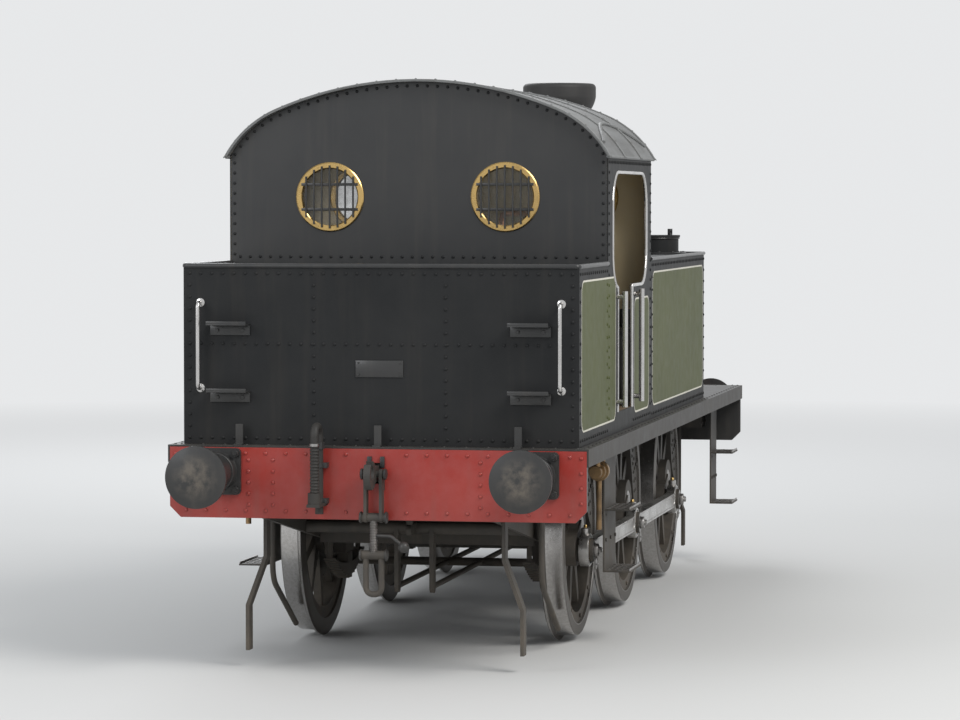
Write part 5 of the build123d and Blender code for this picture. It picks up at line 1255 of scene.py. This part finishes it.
class LOCO_OT_boiler(bpy.types.Operator):
    """Pipes, plugs and valve fittings on the boiler and firebox"""

    bl_idname = "loco.boiler"
    bl_label = "Boiler Fittings"

    def execute(self, context):
        black, brass, copper, steel, clips = shapes(5)
        # The dome's cap, and plugs on the firebox's shoulders
        lathe(brass, ((0, 0), (0.030, 0), (0.030, 0.006), (0.016, 0.010), (0.014, 0.016), (0, 0.018)),
              (0.900, 0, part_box("dome")[1].z - 0.005))
        for x in (-0.62, -0.93, -1.24):
            for turn in (48, 132):
                place = on_barrel(x, firebox_radius, turn)
                out = off_barrel(place).normalized()
                lathe(brass, ((0, -0.002), (0.036, -0.002), (0.036, 0.006), (0.030, 0.009), (0, 0.009)), place,
                      out)
                heads(brass, [place + out * 0.008], out, 0.019)
        rivet(black, round_row(-0.280, firebox_radius, 20, 160, 0.06), off_barrel, 0.006)
        # A clip where the ends of each boiler band meet
        for band in (-0.190, 0.125, 0.500, 1.300, 1.660, 2.045):
            for turn in (86, 94):
                heads(clips, [on_barrel(band, boiler_radius + 0.003, turn)], off_barrel, 0.009)
            box_at(clips, on_barrel(band, boiler_radius + 0.003, 90), (0.022, 0.055, 0.004), 0.0015)
        for side, radius in ((1, 0.026), (-1, 0.014)):
            self.side_pipe(side, radius, copper, clips, brass)
        self.safety_valves(brass, steel)
        # Beads and top of the whistle, then the unions and pipe of each clack valve
        whistle = at(cab_front + 0.060, 0.110, firebox_top)
        for z, radius in ((0.030, 0.030), (0.128, 0.034), (0.150, 0.034), (0.250, 0.034)):
            bead(brass, whistle + at(0, 0, z), radius, 0.004, (0.003, 0.004), (0.004, 0.003))
        heads(brass, [whistle + at(0, 0, 0.284)], up, 0.016)
        ball(brass, whistle + at(0, 0, 0.302), 0.010)
        for side in (1, -1):
            clack = at(clack_x, side * 0.615, boiler_z)
            for z, radius in ((plate_top + 0.020, 0.029), (1.560, 0.027), (boiler_z + 0.012, 0.031),
                              (boiler_z + 0.158, 0.022)):
                heads(brass, [(clack_x, clack.y, z)], up, radius)
            heads(brass, ring(clack + at(0, side * 0.030, 0.090), 0.034, 6, axis=1), (0, side, 0), 0.006)
            rod(copper, (clack_x, clack.y, plate_top + 0.030), clack + at(0, 0, 0.014), 0.0215)
        settle("boiler_rivets", black, "Boiler Paint")
        settle("boiler_band_clips", clips, "Boiler Paint")
        settle("boiler_brass", brass, "Brass")
        settle("boiler_pipes", copper, "Copper")
        settle("safety_valve_spring", steel, "Worn Steel")
        return {"FINISHED"}

    def side_pipe(self, side, radius, copper, clips, brass):
        """A pipe along the boiler from the cab to an elbow on the smokebox, held by clips."""
        reach, pipe_turn = boiler_radius + 0.062, 48
        end = on_barrel(smoke_rear + 0.16, reach, pipe_turn)
        end.y *= side
        out = off_barrel(end).normalized()
        rod(copper, (cab_front - 0.002, end.y, end.z), end, radius, sides=20)
        for x in (cab_front + 0.012, -0.20, 0.62, 1.42, 1.98):
            clip = at(x, end.y, end.z)
            rod(clips, clip - at(0.011, 0, 0), clip + at(0.011, 0, 0), radius + 0.004, sides=20, edge=0.0015)
            if x > -0.3:
                rod(clips, clip - out * 0.066, clip - out * radius, 0.008, sides=10)
        top = reach - smoke_radius + radius
        lathe(brass, ((0, 0), (radius + 0.022, 0), (radius + 0.022, 0.014), (radius + 0.008, 0.018),
                      (radius + 0.007, top), (radius * 0.7, top + 0.012), (0, top + 0.014)),
              end - out * (reach - smoke_radius + 0.004), out, 28)
        rod(brass, end - at(radius * 2.4, 0, 0), end, radius + 0.006, sides=20, edge=0.002)

    def safety_valves(self, brass, steel):
        """Studs on the base, rings and a cap on each column, and a spring between them."""
        base = at(valve_x, 0, firebox_top)
        heads(brass, ring(base + at(0, 0, 0.05), 0.128, 8, 22.5), up, 0.012, "stud")
        for reach in (-0.095, 0.095):
            for z in (0.052, 0.120, 0.235):
                bead(brass, base + at(reach, 0, z), 0.043, 0.005, (0.003, 0.005), (0.005, 0.003))
            heads(brass, [base + at(reach, 0, 0.293)], up, 0.020)
        turns, points, rise, radius = 11, 12, 0.0165, 0.034
        coil = []
        for k in range(turns * points + 1):
            angle = radians(360 / points * k)
            coil.append((valve_x + radius * cos(angle), radius * sin(angle),
                         firebox_top + 0.062 + rise * k / points))
        tube(steel, coil, 0.0052, 0, sides=6)


# Footplate, ends and running gear


class LOCO_OT_footplate(bpy.types.Operator):
    """Rivets, treads and sandbox lids of the running plate and steps"""

    bl_idname = "loco.footplate"
    bl_label = "Footplate Fittings"

    def execute(self, context):
        rivets, treads, lids = shapes(3)
        end = beam_face - 0.06
        for y in (plate_edge, -plate_edge):
            rivet_line(rivets, (-end, y, plate_top), (end, y, plate_top), 0.13, up, radius=0.008)
        for x in (0.045 - beam_face, beam_face - 0.045):
            row = [p for p in line_up((x, -1.08, plate_top), (x, 1.08, plate_top), 0.12)
                   if min(abs(p.y), abs(abs(p.y) - 0.76)) > 0.035]
            rivet(rivets, row, up, 0.008)
        for side in (1, -1):
            lid = at(2.970, side * 0.79, plate_top)
            lathe(lids, ((0, 0), (0.090, 0), (0.090, 0.008), (0.082, 0.010), (0.080, 0.030), (0.074, 0.036),
                         (0, 0.040)), lid, steps=40)
            handhold(lids, lid + at(0, -0.032, 0.036), (0, 1, 0), 0.064, up, 0.006, 0.024)
            heads(lids, ring(lid + at(0, 0, 0.008), 0.08514, 6, 30), up, 0.006)
            # The steps by the cab and at the front: treads, and bolts on their plates
            for middle, wide in ((-1.740, 0.42), (3.050, 0.30)):
                for z in (0.418, 0.768):
                    self.tread(treads, at(middle, side, z), wide)
                out = (0, side, 0)
                face = side * step_face
                for z in (1.165, 1.090, 0.60):
                    heads(rivets, [(middle + k * (wide / 2 - 0.04), face, z) for k in (-1, 0, 1)], out, 0.011)
                rivet(rivets, [(middle + k * (wide / 2 - 0.05), face, 0.743) for k in (-1, 1)], out, 0.008)
        settle("footplate_rivets", rivets, "Plate Black Paint")
        settle("step_treads", treads, "Worn Steel")
        settle("sandbox_lids", lids, "Plate Black Paint")
        return {"FINISHED"}

    def tread(self, shape, place, wide):
        """Crossed bars on a step's tread and a lip along its outer edge; place.y is the side."""
        top = place.z + 0.010
        columns = int((wide - 0.06) / 0.042)
        for i in range(columns + 1):
            for j in range(4):
                x = place.x - wide / 2 + 0.03 + (i + j % 2 / 2) * (wide - 0.06) / (columns + 0.5)
                lean = Matrix.Rotation(radians(45 if (i + j) % 2 else -45), 4, "Z")
                box_at(shape, (x, place.y * (1.012 + j * 0.034), top + 0.00025), (0.013, 0.003, 0.00225),
                       turn=lean)
        box_at(shape, (place.x, place.y * 1.1385, top + 0.002), (wide / 2, 0.0025, 0.010), 0.0015)


class LOCO_OT_ends(bpy.types.Operator):
    """Rivets of the beams, buffer bolts, coupling thread and hose ribs"""

    bl_idname = "loco.ends"
    bl_label = "Beam and Coupling Fittings"

    def execute(self, context):
        rivets, black, steel, rubber = shapes(4)
        for way in (1, -1):
            out, face = (way, 0, 0), way * beam_face
            # Rows along the beam, then upright rows over the frames and near its ends
            for z in (beam_high.z - 0.032, beam_low.z + 0.040):
                row = [p for p in line_up((face, -1.045, z), (face, 1.045, z), 0.11)
                       if abs(p.y - 0.300) > 0.045 and abs(p.y) > 0.06]
                rivet(rivets, row, out, 0.011)
            for y, low, high, pitch in ((0.70, 0.90, 1.14, 0.06), (0.565, 0.90, 1.14, 0.06),
                                        (1.105, 0.93, 1.17, 0.08)):
                for side in (1, -1):
                    rivet_line(rivets, (face, side * y, low), (face, side * y, high), pitch, out, radius=0.011)
            for side in (1, -1):
                self.buffer(black, steel, way, side)
            self.coupling(black, steel, at(way * (beam_face + 0.062), 0, 0), way)
            for y in (-0.035, 0.035):
                for z in (-0.060, 0.060):
                    box_at(black, (face + way * 0.003, y, buffer_z + z), (0.007, 0.012, 0.030), 0.002)
            self.hose(black, steel, rubber, way)
        settle("beam_rivets", rivets, "Beam Red Paint")
        settle("buffer_fittings", black, "Buffer Black Paint")
        settle("coupling_thread", steel, "Worn Steel")
        settle("hose_ribs", rubber, "Rubber Hose")
        return {"FINISHED"}

    def buffer(self, black, steel, way, side):
        """Base nuts, two rings on the housing and the bright part of the plunger."""
        out = (way, 0, 0)
        for j in (-0.098, 0.098):
            for k in (-0.098, 0.098):
                nut = (way * (beam_face + 0.020), side * buffer_y + j, buffer_z + k)
                heads(black, [nut], out, 0.021, "stud")
        for along, high in ((0.285, 0.090), (0.085, 0.101)):
            lathe(black, ((0.070, -0.009), (high, -0.009), (high + 0.004, -0.004), (high + 0.004, 0.004),
                          (high, 0.009), (0.070, 0.009)),
                  (way * (beam_face + along), side * buffer_y, buffer_z), out, 40)
        lathe(steel, ((0.0555, 0), (0.0575, 0.004), (0.0575, 0.100), (0.0555, 0.104)),
              (way * 3.806, side * buffer_y, buffer_z), out, 32)

    def coupling(self, black, steel, pin, way):
        """The screw's thread, the ends of the pins, and the handle with its weight."""
        turns, pitch = 20, 0.0086
        thread = [(r, (k + lift) * pitch) for k in range(turns) for r, lift in ((0.0175, 0), (0.0215, 0.5))]
        lathe(steel, thread + [(0.0175, turns * pitch)], pin + at(0, 0, 0.660))
        for y, z, r, thick in ((0.064, 0.848, 0.031, 0.008), (0.064, 0.648, 0.031, 0.008),
                               (0.058, buffer_z, 0.030, 0.009)):
            small = 0.026 if thick == 0.008 else 0.024
            for side in (1, -1):
                lathe(black, ((0, 0), (r, 0), (r, thick), (small, thick + 0.004), (0, thick + 0.005)),
                      pin + at(0, side * y, z), (0, side, 0), 20)
        tube(black, (pin + at(0, 0, 0.752), pin + at(way * 0.030, -0.10, 0.752),
                     pin + at(way * 0.040, -0.17, 0.700)), 0.009, 0.03)
        ball(black, pin + at(way * 0.040, -0.172, 0.695), 0.030, sides=20)

    def hose(self, black, steel, rubber, way):
        """Ribs and clamps of the brake hose, and the brackets and nut of its pipe."""
        pipe, hose = at(way * (beam_face + 0.045), 0.300, 0), at(way * (beam_face + 0.155), 0.300, 0)
        for k in range(15):
            bead(rubber, hose + at(0, 0, 0.985 + k * 0.0170), 0.022, 0.002, (0.001, 0.004), (0.007, 0.005),
                 steps=24)
        for z in (0.972, 1.235):
            lathe(steel, ((0.018, -0.007), (0.027, -0.007), (0.027, 0.007), (0.018, 0.007)),
                  hose + at(0, 0, z), steps=28)
        for z in (0.930, 1.120):
            box_at(black, (pipe.x - way * 0.015, 0.300, z), (0.027, 0.045, 0.014), 0.002)
            rod(black, pipe + at(0, 0, z - 0.012), pipe + at(0, 0, z + 0.012), 0.028, edge=0.002)
        lathe(black, ((0.020, -0.018), (0.030, -0.018), (0.030, 0.018), (0.020, 0.018)),
              pipe + at(0, 0, 1.225), steps=8)


class LOCO_OT_wheels(bpy.types.Operator):
    """Rim bolts, axle caps and crank-pin nuts of the wheels"""

    bl_idname = "loco.wheels"
    bl_label = "Wheel Fittings"

    def execute(self, context):
        for name, x in axles.items():
            black, steel = shapes(2)
            for side in (1, -1):
                out, turn = (0, side, 0), pin_turn(side)
                centre = at(x, 0, axle_z)
                rim, cap = centre + at(0, side * rim_face, 0), centre + at(0, side * cap_face, 0)
                heads(black, ring(rim, 0.508, 10, turn + 36, 1), out, 0.013)
                heads(steel, ring(cap, 0.062, 6, turn + 30, 1), out, 0.0085)
                lathe(steel, ((0, -0.004), (0.084, -0.004), (0.084, 0.004), (0.076, 0.007), (0.030, 0.007),
                              (0.026, 0.004), (0.010, 0.004), (0, 0.001)), cap, out, 48)
                pin = ring(centre + at(0, side * pin_end, 0), rod_throw, 1, turn, 1)[0]
                heads(steel, [pin - at(0, side * 0.002, 0)], out, 0.038, "stud")
                lathe(steel, ((0.040, 0), (0.058, 0), (0.060, 0.003), (0.040, 0.004)),
                      pin - at(0, side * 0.001, 0), out, 32)
                # Rivets of the balance weight, which is longer on the driving wheels
                for reach, wide in ((0.455, 2), (0.405, 2 if name == "driving" else 1)):
                    for k in range(-wide, wide + 1):
                        rivet(black, ring(rim, reach, 1, turn + 180 + k * 9, 1), out, 0.012)
                lathe(steel, ((0.5425, -0.004), (0.5445, 0.0008), (0.5465, 0.0008), (0.5485, -0.004)),
                      centre + at(0, side * wheel_face, 0), out, 96)
            body = f"{name}_wheels"
            settle(f"{name}_rim_bolts", black, "Chassis Paint", body)
            settle(f"{name}_axle_caps", steel, "Worn Steel", body)
        return {"FINISHED"}


class LOCO_OT_rods(bpy.types.Operator):
    """Raised edges, bushes and oil cups of the coupling rods"""

    bl_idname = "loco.rods"
    bl_label = "Coupling Rod Fittings"

    def execute(self, context):
        places = sorted(axles.values())
        for side, word in ((1, "left"), (-1, "right")):
            steel, brass = shapes(2)
            out, face = (0, side, 0), side * (rod_back + rod_thickness)
            rim, bow = face + side * 0.0015, 0.040
            shift = ring((0, 0, axle_z), rod_throw, 1, pin_turn(side), 1)[0]
            for first, second in zip(places, places[1:]):
                ends, middle = (first + rod_eye, second - rod_eye), (first + second) / 2
                for level in (bow, -bow):
                    box_at(steel, at(middle, rim, level) + shift, (ends[1] - middle, 0.0035, 0.006), 0.0015)
                for end, way in zip(ends, (1, -1)):
                    path = [at(end + way * (bow - bow * cos(a)), rim, bow * sin(a)) + shift
                            for a in (radians(d) for d in range(-90, 91, 15))]
                    tube(steel, path, 0.0042, 0, sides=6)
            for place in places:
                middle = at(place, face, 0) + shift
                lathe(steel, ((0.078, -0.002), (0.088, -0.002), (0.088, 0.003), (0.084, 0.005), (0.078, 0.004)),
                      middle, out, 48)
                lathe(brass, ((0.0462, -0.002), (0.066, -0.002), (0.066, 0.003), (0.0462, 0.003)), middle, out,
                      40)
                cup = at(place, side * (rod_back + rod_thickness / 2), 0.090) + shift
                lathe(steel, ((0, 0), (0.024, 0), (0.026, 0.006), (0.026, 0.030), (0.020, 0.036), (0, 0.036)),
                      cup, steps=28)
                lathe(brass, ((0, 0.034), (0.012, 0.034), (0.012, 0.048), (0.009, 0.052), (0, 0.052)), cup,
                      steps=16)
            settle(f"rod_{word}_edges", steel, "Bright Steel", f"rod_{word}")
            settle(f"rod_{word}_bushes", brass, "Brass", f"rod_{word}")
        return {"FINISHED"}


class LOCO_OT_underneath(bpy.types.Operator):
    """Bolts of the frames, springs, brake gear and guard irons"""

    bl_idname = "loco.underneath"
    bl_label = "Frame Fittings"

    def execute(self, context):
        bolts, steel = shapes(2)
        for side in (1, -1):
            out, inward, y = (0, side, 0), (0, -side, 0), side * 0.66
            # Rivets along the top of the frames, and bolts beside the axleboxes
            for z in (1.185, 1.130):
                heads_on(bolts, "frame_plates", line_up((-3.30, y, z), (3.30, y, z), 0.11), inward, 0.009,
                         near=0.03)
            for axle in axles.values():
                for x in (axle - 0.175, axle + 0.175):
                    heads_on(bolts, "frame_plates", line_up((x, y, 0.50), (x, y, 0.82), 0.08), inward, 0.012,
                             "hex", 0.03)
                # Pins at both ends of the brake hanger, and bolts of the block
                for z, face in ((1.010, 0.786), (0.370, 0.790)):
                    pin = at(axle + 0.6905, side * face, z)
                    lathe(steel, ((0, -0.002), (0.034, -0.002), (0.034, 0.008), (0.026, 0.012), (0, 0.012)),
                          pin, out)
                    cotter = pin + at(0, side * 0.016, 0)
                    rod(steel, cotter - at(0.028, 0, 0), cotter + at(0.028, 0, 0), 0.0035, sides=8)
                for turn in (-16, -4):
                    block_bolt = ring((axle - 0.022, side * 0.7955, axle_z), 0.6655, 1, turn, 1)
                    heads(bolts, block_bolt, out, 0.010)
            # Bolts of the guard irons and sandboxes
            for x in (3.241, -3.241):
                heads_on(bolts, "guard_irons", [(x, side * 1.05, z) for z in (1.02, 1.10, 1.17)], inward, 0.014,
                         "hex", 0.5)
            for x in (2.970, -2.690):
                spots = [(x + j, side * 1.1, z) for j in (-0.085, 0.085) for z in (0.985, 1.172)]
                heads_on(bolts, "sandboxes", spots, inward, 0.010, "hex", 0.5)
        # Bolts of the brake cylinder's flange
        heads(bolts, ring((-2.600, 0, 1.178), 0.148, 8, 22.5), down, 0.012)
        settle("frame_bolts", bolts, "Chassis Paint")
        settle("brake_pins", steel, "Worn Steel")
        return {"FINISHED"}


# Cab fittings


class LOCO_OT_backhead(bpy.types.Operator):
    """Gauges, cocks, pipes and handles on the backhead and in the cab"""

    bl_idname = "loco.backhead"
    bl_label = "Cab Fittings"

    def execute(self, context):
        brass, copper, dials, marks, steel, iron, glass = shapes(7)
        face = firebox_rear
        for y in (0.190, -0.190):
            self.gauge(at(face - 0.052, y, 2.250), brass, copper, dials, marks)
            self.water_gauge(at(face - 0.056, y, 2.000), brass, glass)
        # Rivets round the fire doors, and stays in rows clear of the gauges
        rivet(iron, [(face - 0.002, y, z + 1.560) for y, z in
                     ((0.275 * cos(a), 0.205 * sin(a)) for a in (radians(15 + 30 * k) for k in range(12)))],
              back, 0.013)
        for y in [k * 0.115 for k in range(-3, 4)]:
            for z in [1.75 + k * 0.115 for k in range(5)]:
                among_gauges = abs(y) < 0.26 and 1.93 < z < 2.35
                if y * y + (z - boiler_z) ** 2 < 0.50 ** 2 and not among_gauges:
                    rivet(iron, [(face, y, z)], back, 0.011)
        # Handles of the fire doors, and the regulator's knob and grips
        for y in (0.0396, -0.0396):
            handhold(steel, (face - 0.040, y, 1.50), up, 0.12, back, 0.007, 0.04)
        knob = at(face - 0.082, 0, 2.120)
        lathe(steel, ((0, 0), (0.030, 0), (0.030, 0.012), (0.020, 0.020), (0, 0.022)), knob, back)
        for tip in ring(knob + at(0.012, 0, 0), 0.205, 2, 40, 0):
            rod(steel, tip, tip + at(-0.075, 0, 0), 0.013, 0.010, sides=16, edge=0.002)
        for side in (-1, 1):
            self.injector_wheel(at(face - 0.085, side * 0.378, 2.02), side, brass, steel, copper)
        # Pipes up the backhead and forward to the cab's front
        for y, x, z, radius in ((0.33, -0.075, 2.52, 0.012), (-0.33, -0.095, 2.45, 0.016)):
            tube(copper, ((face + 0.006, y, 2.20), (face + x, y, 2.20), (face + x, y, z),
                          (cab_front - 0.01, y, z)), radius, 0.06)
        # The reversing lever's grip and notches, and the handbrake's collar and knob
        grip = at(reverser_x - 0.093, 0.032 - reverser_y, 2.225)
        rod(steel, grip + at(0.006, 0, -0.10), grip + at(-0.010, 0, 0.02), 0.019, sides=20, edge=0.004)
        for x, z in arc(0.162, 35, 145, 11, (reverser_x, 1.715)):
            box_at(iron, (x, 0.027 - reverser_y, z), (0.006, 0.004, 0.006), 0.001)
        column = at(cab_rear + 0.190, 0.760, 0)
        lathe(brass, ((0.030, -0.010), (0.038, -0.008), (0.038, 0.008), (0.030, 0.010)),
              column + at(0, 0, 1.98))
        ball(steel, column + at(0.215, 0, 2.226), 0.019)
        for side in (1, -1):
            locker = at(cab_front - 0.42, side * 0.86, floor_top)
            box_at(iron, locker + at(0, 0, 0.21), (0.15, 0.17, 0.21), 0.004)
            box_at(iron, locker + at(0, 0, 0.4325), (0.165, 0.185, 0.0125), 0.006)
        settle("cab_brass", brass, "Brass")
        settle("cab_pipes", copper, "Copper")
        settle("gauge_dials", dials, "Dial Face")
        settle("gauge_marks", marks, "Body Black Paint")
        settle("cab_handles", steel, "Rail Steel")
        settle("backhead_stays", iron, "Body Black Paint")
        settle("gauge_glasses", glass, "Window Glass")
        return {"FINISHED"}

    def gauge(self, spot, brass, copper, dials, marks):
        """A pressure gauge with a rim, plain marks, a hand and a thin pipe."""
        lathe(brass, ((0.058, -0.002), (0.074, -0.002), (0.074, 0.006), (0.066, 0.010), (0.058, 0.008)), spot,
              back, 40)
        lathe(dials, ((0, 0.0015), (0.060, 0.0015), (0.060, -0.001)), spot, back, 40)

        def mark(turn, start, end, forward, *radii, sides):
            ray = at(0, cos(radians(turn)), sin(radians(turn)))
            rod(marks, spot + ray * start - at(forward, 0, 0), spot + ray * end - at(forward, 0, 0), *radii,
                sides=sides)

        for k in range(13):
            mark(225 - 22.5 * k, 0.043 if k % 3 else 0.038, 0.053, 0.002, 0.0011, sides=6)
        mark(130 if spot.y > 0 else 60, -0.012, 0.042, 0.004, 0.0022, 0.0008, sides=8)
        rod(brass, spot, spot - at(0.008, 0, 0), 0.006, sides=12)
        tube(copper, (spot + at(0.03, 0, -0.066), spot + at(0.03, 0, -0.150),
                      spot + at(0.050, -spot.y * 0.25, -0.200)), 0.006, sides=10)

    def water_gauge(self, spot, brass, glass):
        """A gauge glass between two cocks."""
        rod(glass, spot - at(0, 0, 0.105), spot + at(0, 0, 0.105), 0.009, sides=16)
        for way in (1, -1):
            cock = spot + at(0, 0, way * 0.118)
            rod(brass, cock - at(0, 0, 0.020), cock + at(0, 0, 0.020), 0.017, sides=20, edge=0.002)
            heads(brass, [cock + at(0, 0, way * 0.020)], (0, 0, way), 0.014)
            handle = cock - at(0.004, 0, 0)
            rod(brass, handle + at(0, 0.014, 0), handle + at(0, 0.060, 0), 0.006, sides=12)
            ball(brass, handle + at(0, 0.064, 0), 0.010, sides=12)

    def injector_wheel(self, wheel, side, brass, steel, copper):
        """A steam valve with a spoked hand wheel, and its pipe down to the floor."""
        rod(brass, wheel + at(0.090, 0, 0), wheel, 0.011, sides=16)
        tube(steel, ring(wheel, 0.042, 18, axis=0), 0.006, 0, sides=8, closed=True)
        spokes = ring(wheel, 0.040, 6, axis=0)
        for tip, other in zip(spokes[:3], spokes[3:]):
            rod(steel, other, tip, 0.004, sides=8)
        top, shift, foot = wheel + at(0.045, 0, 0), side * 0.0756, floor_top - wheel.z
        tube(copper, (top + at(0, 0, -0.012), top + at(0, 0, -0.30), top + at(0, shift, -0.42),
                      top + at(0, shift, foot - 0.002)), 0.013, 0.05)
        lathe(copper, ((0.013, 0), (0.024, 0), (0.024, 0.008), (0.013, 0.010)), top + at(0, shift, foot))


# Stage


def seen_direct(g):
    """1 for what the camera sees, straight, mirrored or through glass."""
    path = g.node("ShaderNodeLightPath").outputs
    seen = g.math("MAXIMUM", path["Is Camera Ray"], path["Is Transmission Ray"])
    return g.math("MAXIMUM", seen, path["Is Glossy Ray"])


def mixed(g, factor, first, second, output):
    either = g.node("ShaderNodeMixShader", {0: factor, 1: first.outputs[0], 2: second.outputs[0]})
    g.wire(output, {"Surface": either.outputs[0]})


def stand(name, data, where=(0, 0, 0), aim=None):
    """Puts a lamp, camera or floor on the stage, turned towards a point."""
    piece = bpy.data.objects.new(name, data)
    bpy.context.scene.collection.objects.link(piece)
    piece.location = where
    if aim is not None:
        piece.rotation_euler = (Vector(where) - Vector(aim)).to_track_quat("Z", "Y").to_euler()
    return piece


def make_floor(stage):
    """A plain pale floor that fades into the background far away."""
    part = bmesh.new()
    bmesh.ops.create_grid(part, x_segments=1, y_segments=1, size=220)
    mesh = bpy.data.meshes.new("floor")
    part.to_mesh(mesh)
    part.free()
    material, g, shader = start_material("Plain Floor")
    g.wire(shader, {"Base Color": stage.floor, "Roughness": 0.9, "Specular IOR Level": 0.2})
    axes = g.axes()
    far = g.times(g.span(g.reach(axes[0], axes[1]), 7.0, 24.0), seen_direct(g))
    glow = g.node("ShaderNodeEmission", {"Color": stage.background})
    mixed(g, far, shader, glow, material.node_tree.nodes["Material Output"])
    mesh.materials.append(material)
    stand("floor", mesh)


def make_light(stage):
    """A pale sky, a broad soft key lamp, and two weaker ones."""
    world = bpy.context.scene.world = bpy.data.worlds.new("Sky")
    world.use_nodes = True
    g, nodes = Graph(world.node_tree), world.node_tree.nodes
    g.wire(nodes["Background"], {"Color": (0.93, 0.96, 1.0), "Strength": 0.70})
    plain = g.node("ShaderNodeBackground", {"Color": stage.background, "Strength": 1.0})
    mixed(g, seen_direct(g), nodes["Background"], plain, nodes["World Output"])
    warm, cool = (1.0, 0.975, 0.94), (0.95, 0.97, 1.0)
    for name, where, aim, size, power, tone in (
            ("key", (-9, -11, 13), (-0.5, 0, 1), 9, 1900, warm),
            ("fill", (-14, 9, 7), (-1, 0, 1.2), 8, 560, cool),
            ("front", (14, 5, 10), (0, 0, 1), 8, 900, cool)):
        lamp = bpy.data.lights.new(name, "AREA")
        lamp.shape, lamp.size, lamp.energy, lamp.color = "DISK", size, power, tone
        stand(name, lamp, where, aim)
    bpy.context.scene.view_settings.view_transform = "Standard"


def make_camera(stage):
    """Behind the bunker, close to the track's axis, with a long lens."""
    data = bpy.data.cameras.new("camera")
    data.lens, data.sensor_width, data.clip_end = stage.lens, 36, 500
    bpy.context.scene.camera = stand("camera", data, stage.standpoint, stage.target)


class LOCO_OT_materials(bpy.types.Operator):
    """Make the paints and metals"""

    bl_idname = "loco.materials"
    bl_label = "Paints and Metals"

    def execute(self, context):
        make_weathering()
        make_panel()
        make_oiled_metal()
        make_materials()
        return {"FINISHED"}


class LOCO_OT_finish(bpy.types.Operator):
    """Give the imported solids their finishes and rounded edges"""

    bl_idname = "loco.finish"
    bl_label = "Finishes"

    def execute(self, context):
        make_shading_trees()
        missing = set(frame["nodes"]).difference(*finishes.values())
        if missing:
            raise RuntimeError(f"no finish for {sorted(missing)}")
        for material, nodes in finishes.items():
            for node in nodes:
                piece = frame["nodes"][node]
                piece.data.materials.clear()
                piece.data.materials.append(bpy.data.materials[material])
                round_edges(piece, 0 if node in tyres else edge_sizes.get(node, fixings().edge_round))
        return {"FINISHED"}


class LOCO_OT_stage(bpy.types.Operator):
    """Set up the floor, the light and the camera"""

    bl_idname = "loco.stage"
    bl_label = "Stage"

    def execute(self, context):
        for make in (make_floor, make_light, make_camera):
            make(context.scene.loco_stage)
        return {"FINISHED"}


class LOCO_PT_panel(bpy.types.Panel):
    """The locomotive's settings and steps"""

    bl_label = "Tank Locomotive"
    bl_idname = "LOCO_PT_panel"
    bl_space_type = "VIEW_3D"
    bl_region_type = "UI"
    bl_category = "Locomotive"

    def draw(self, context):
        for name in settings:
            group = getattr(context.scene, name)
            box = self.layout.box()
            for key in group.bl_rna.properties.keys():
                if key not in ("rna_type", "name"):
                    box.prop(group, key)
        for step in steps:
            self.layout.operator(step.bl_idname)


steps = (LOCO_OT_materials, LOCO_OT_finish, LOCO_OT_tanks, LOCO_OT_cab, LOCO_OT_bunker, LOCO_OT_smokebox,
         LOCO_OT_smokebox_inside, LOCO_OT_chimney, LOCO_OT_boiler, LOCO_OT_footplate, LOCO_OT_ends,
         LOCO_OT_wheels, LOCO_OT_rods, LOCO_OT_underneath, LOCO_OT_backhead, LOCO_OT_stage)
settings = {"loco_paints": PaintSettings, "loco_fixings": FixingSettings, "loco_stage": StageSettings}
classes = (*settings.values(), *steps, LOCO_PT_panel)


def register():
    for kind in classes:
        bpy.utils.register_class(kind)
    for name, kind in settings.items():
        setattr(bpy.types.Scene, name, bpy.props.PointerProperty(type=kind))


def unregister():
    for name in settings:
        delattr(bpy.types.Scene, name)
    for kind in reversed(classes):
        bpy.utils.unregister_class(kind)


def main():
    register()
    for step in steps:
        result = getattr(bpy.ops.loco, step.bl_idname.split(".")[1])()
        if result != {"FINISHED"}:
            raise RuntimeError(f"{step.bl_idname} did not finish")


if __name__ == "__main__":
    main()
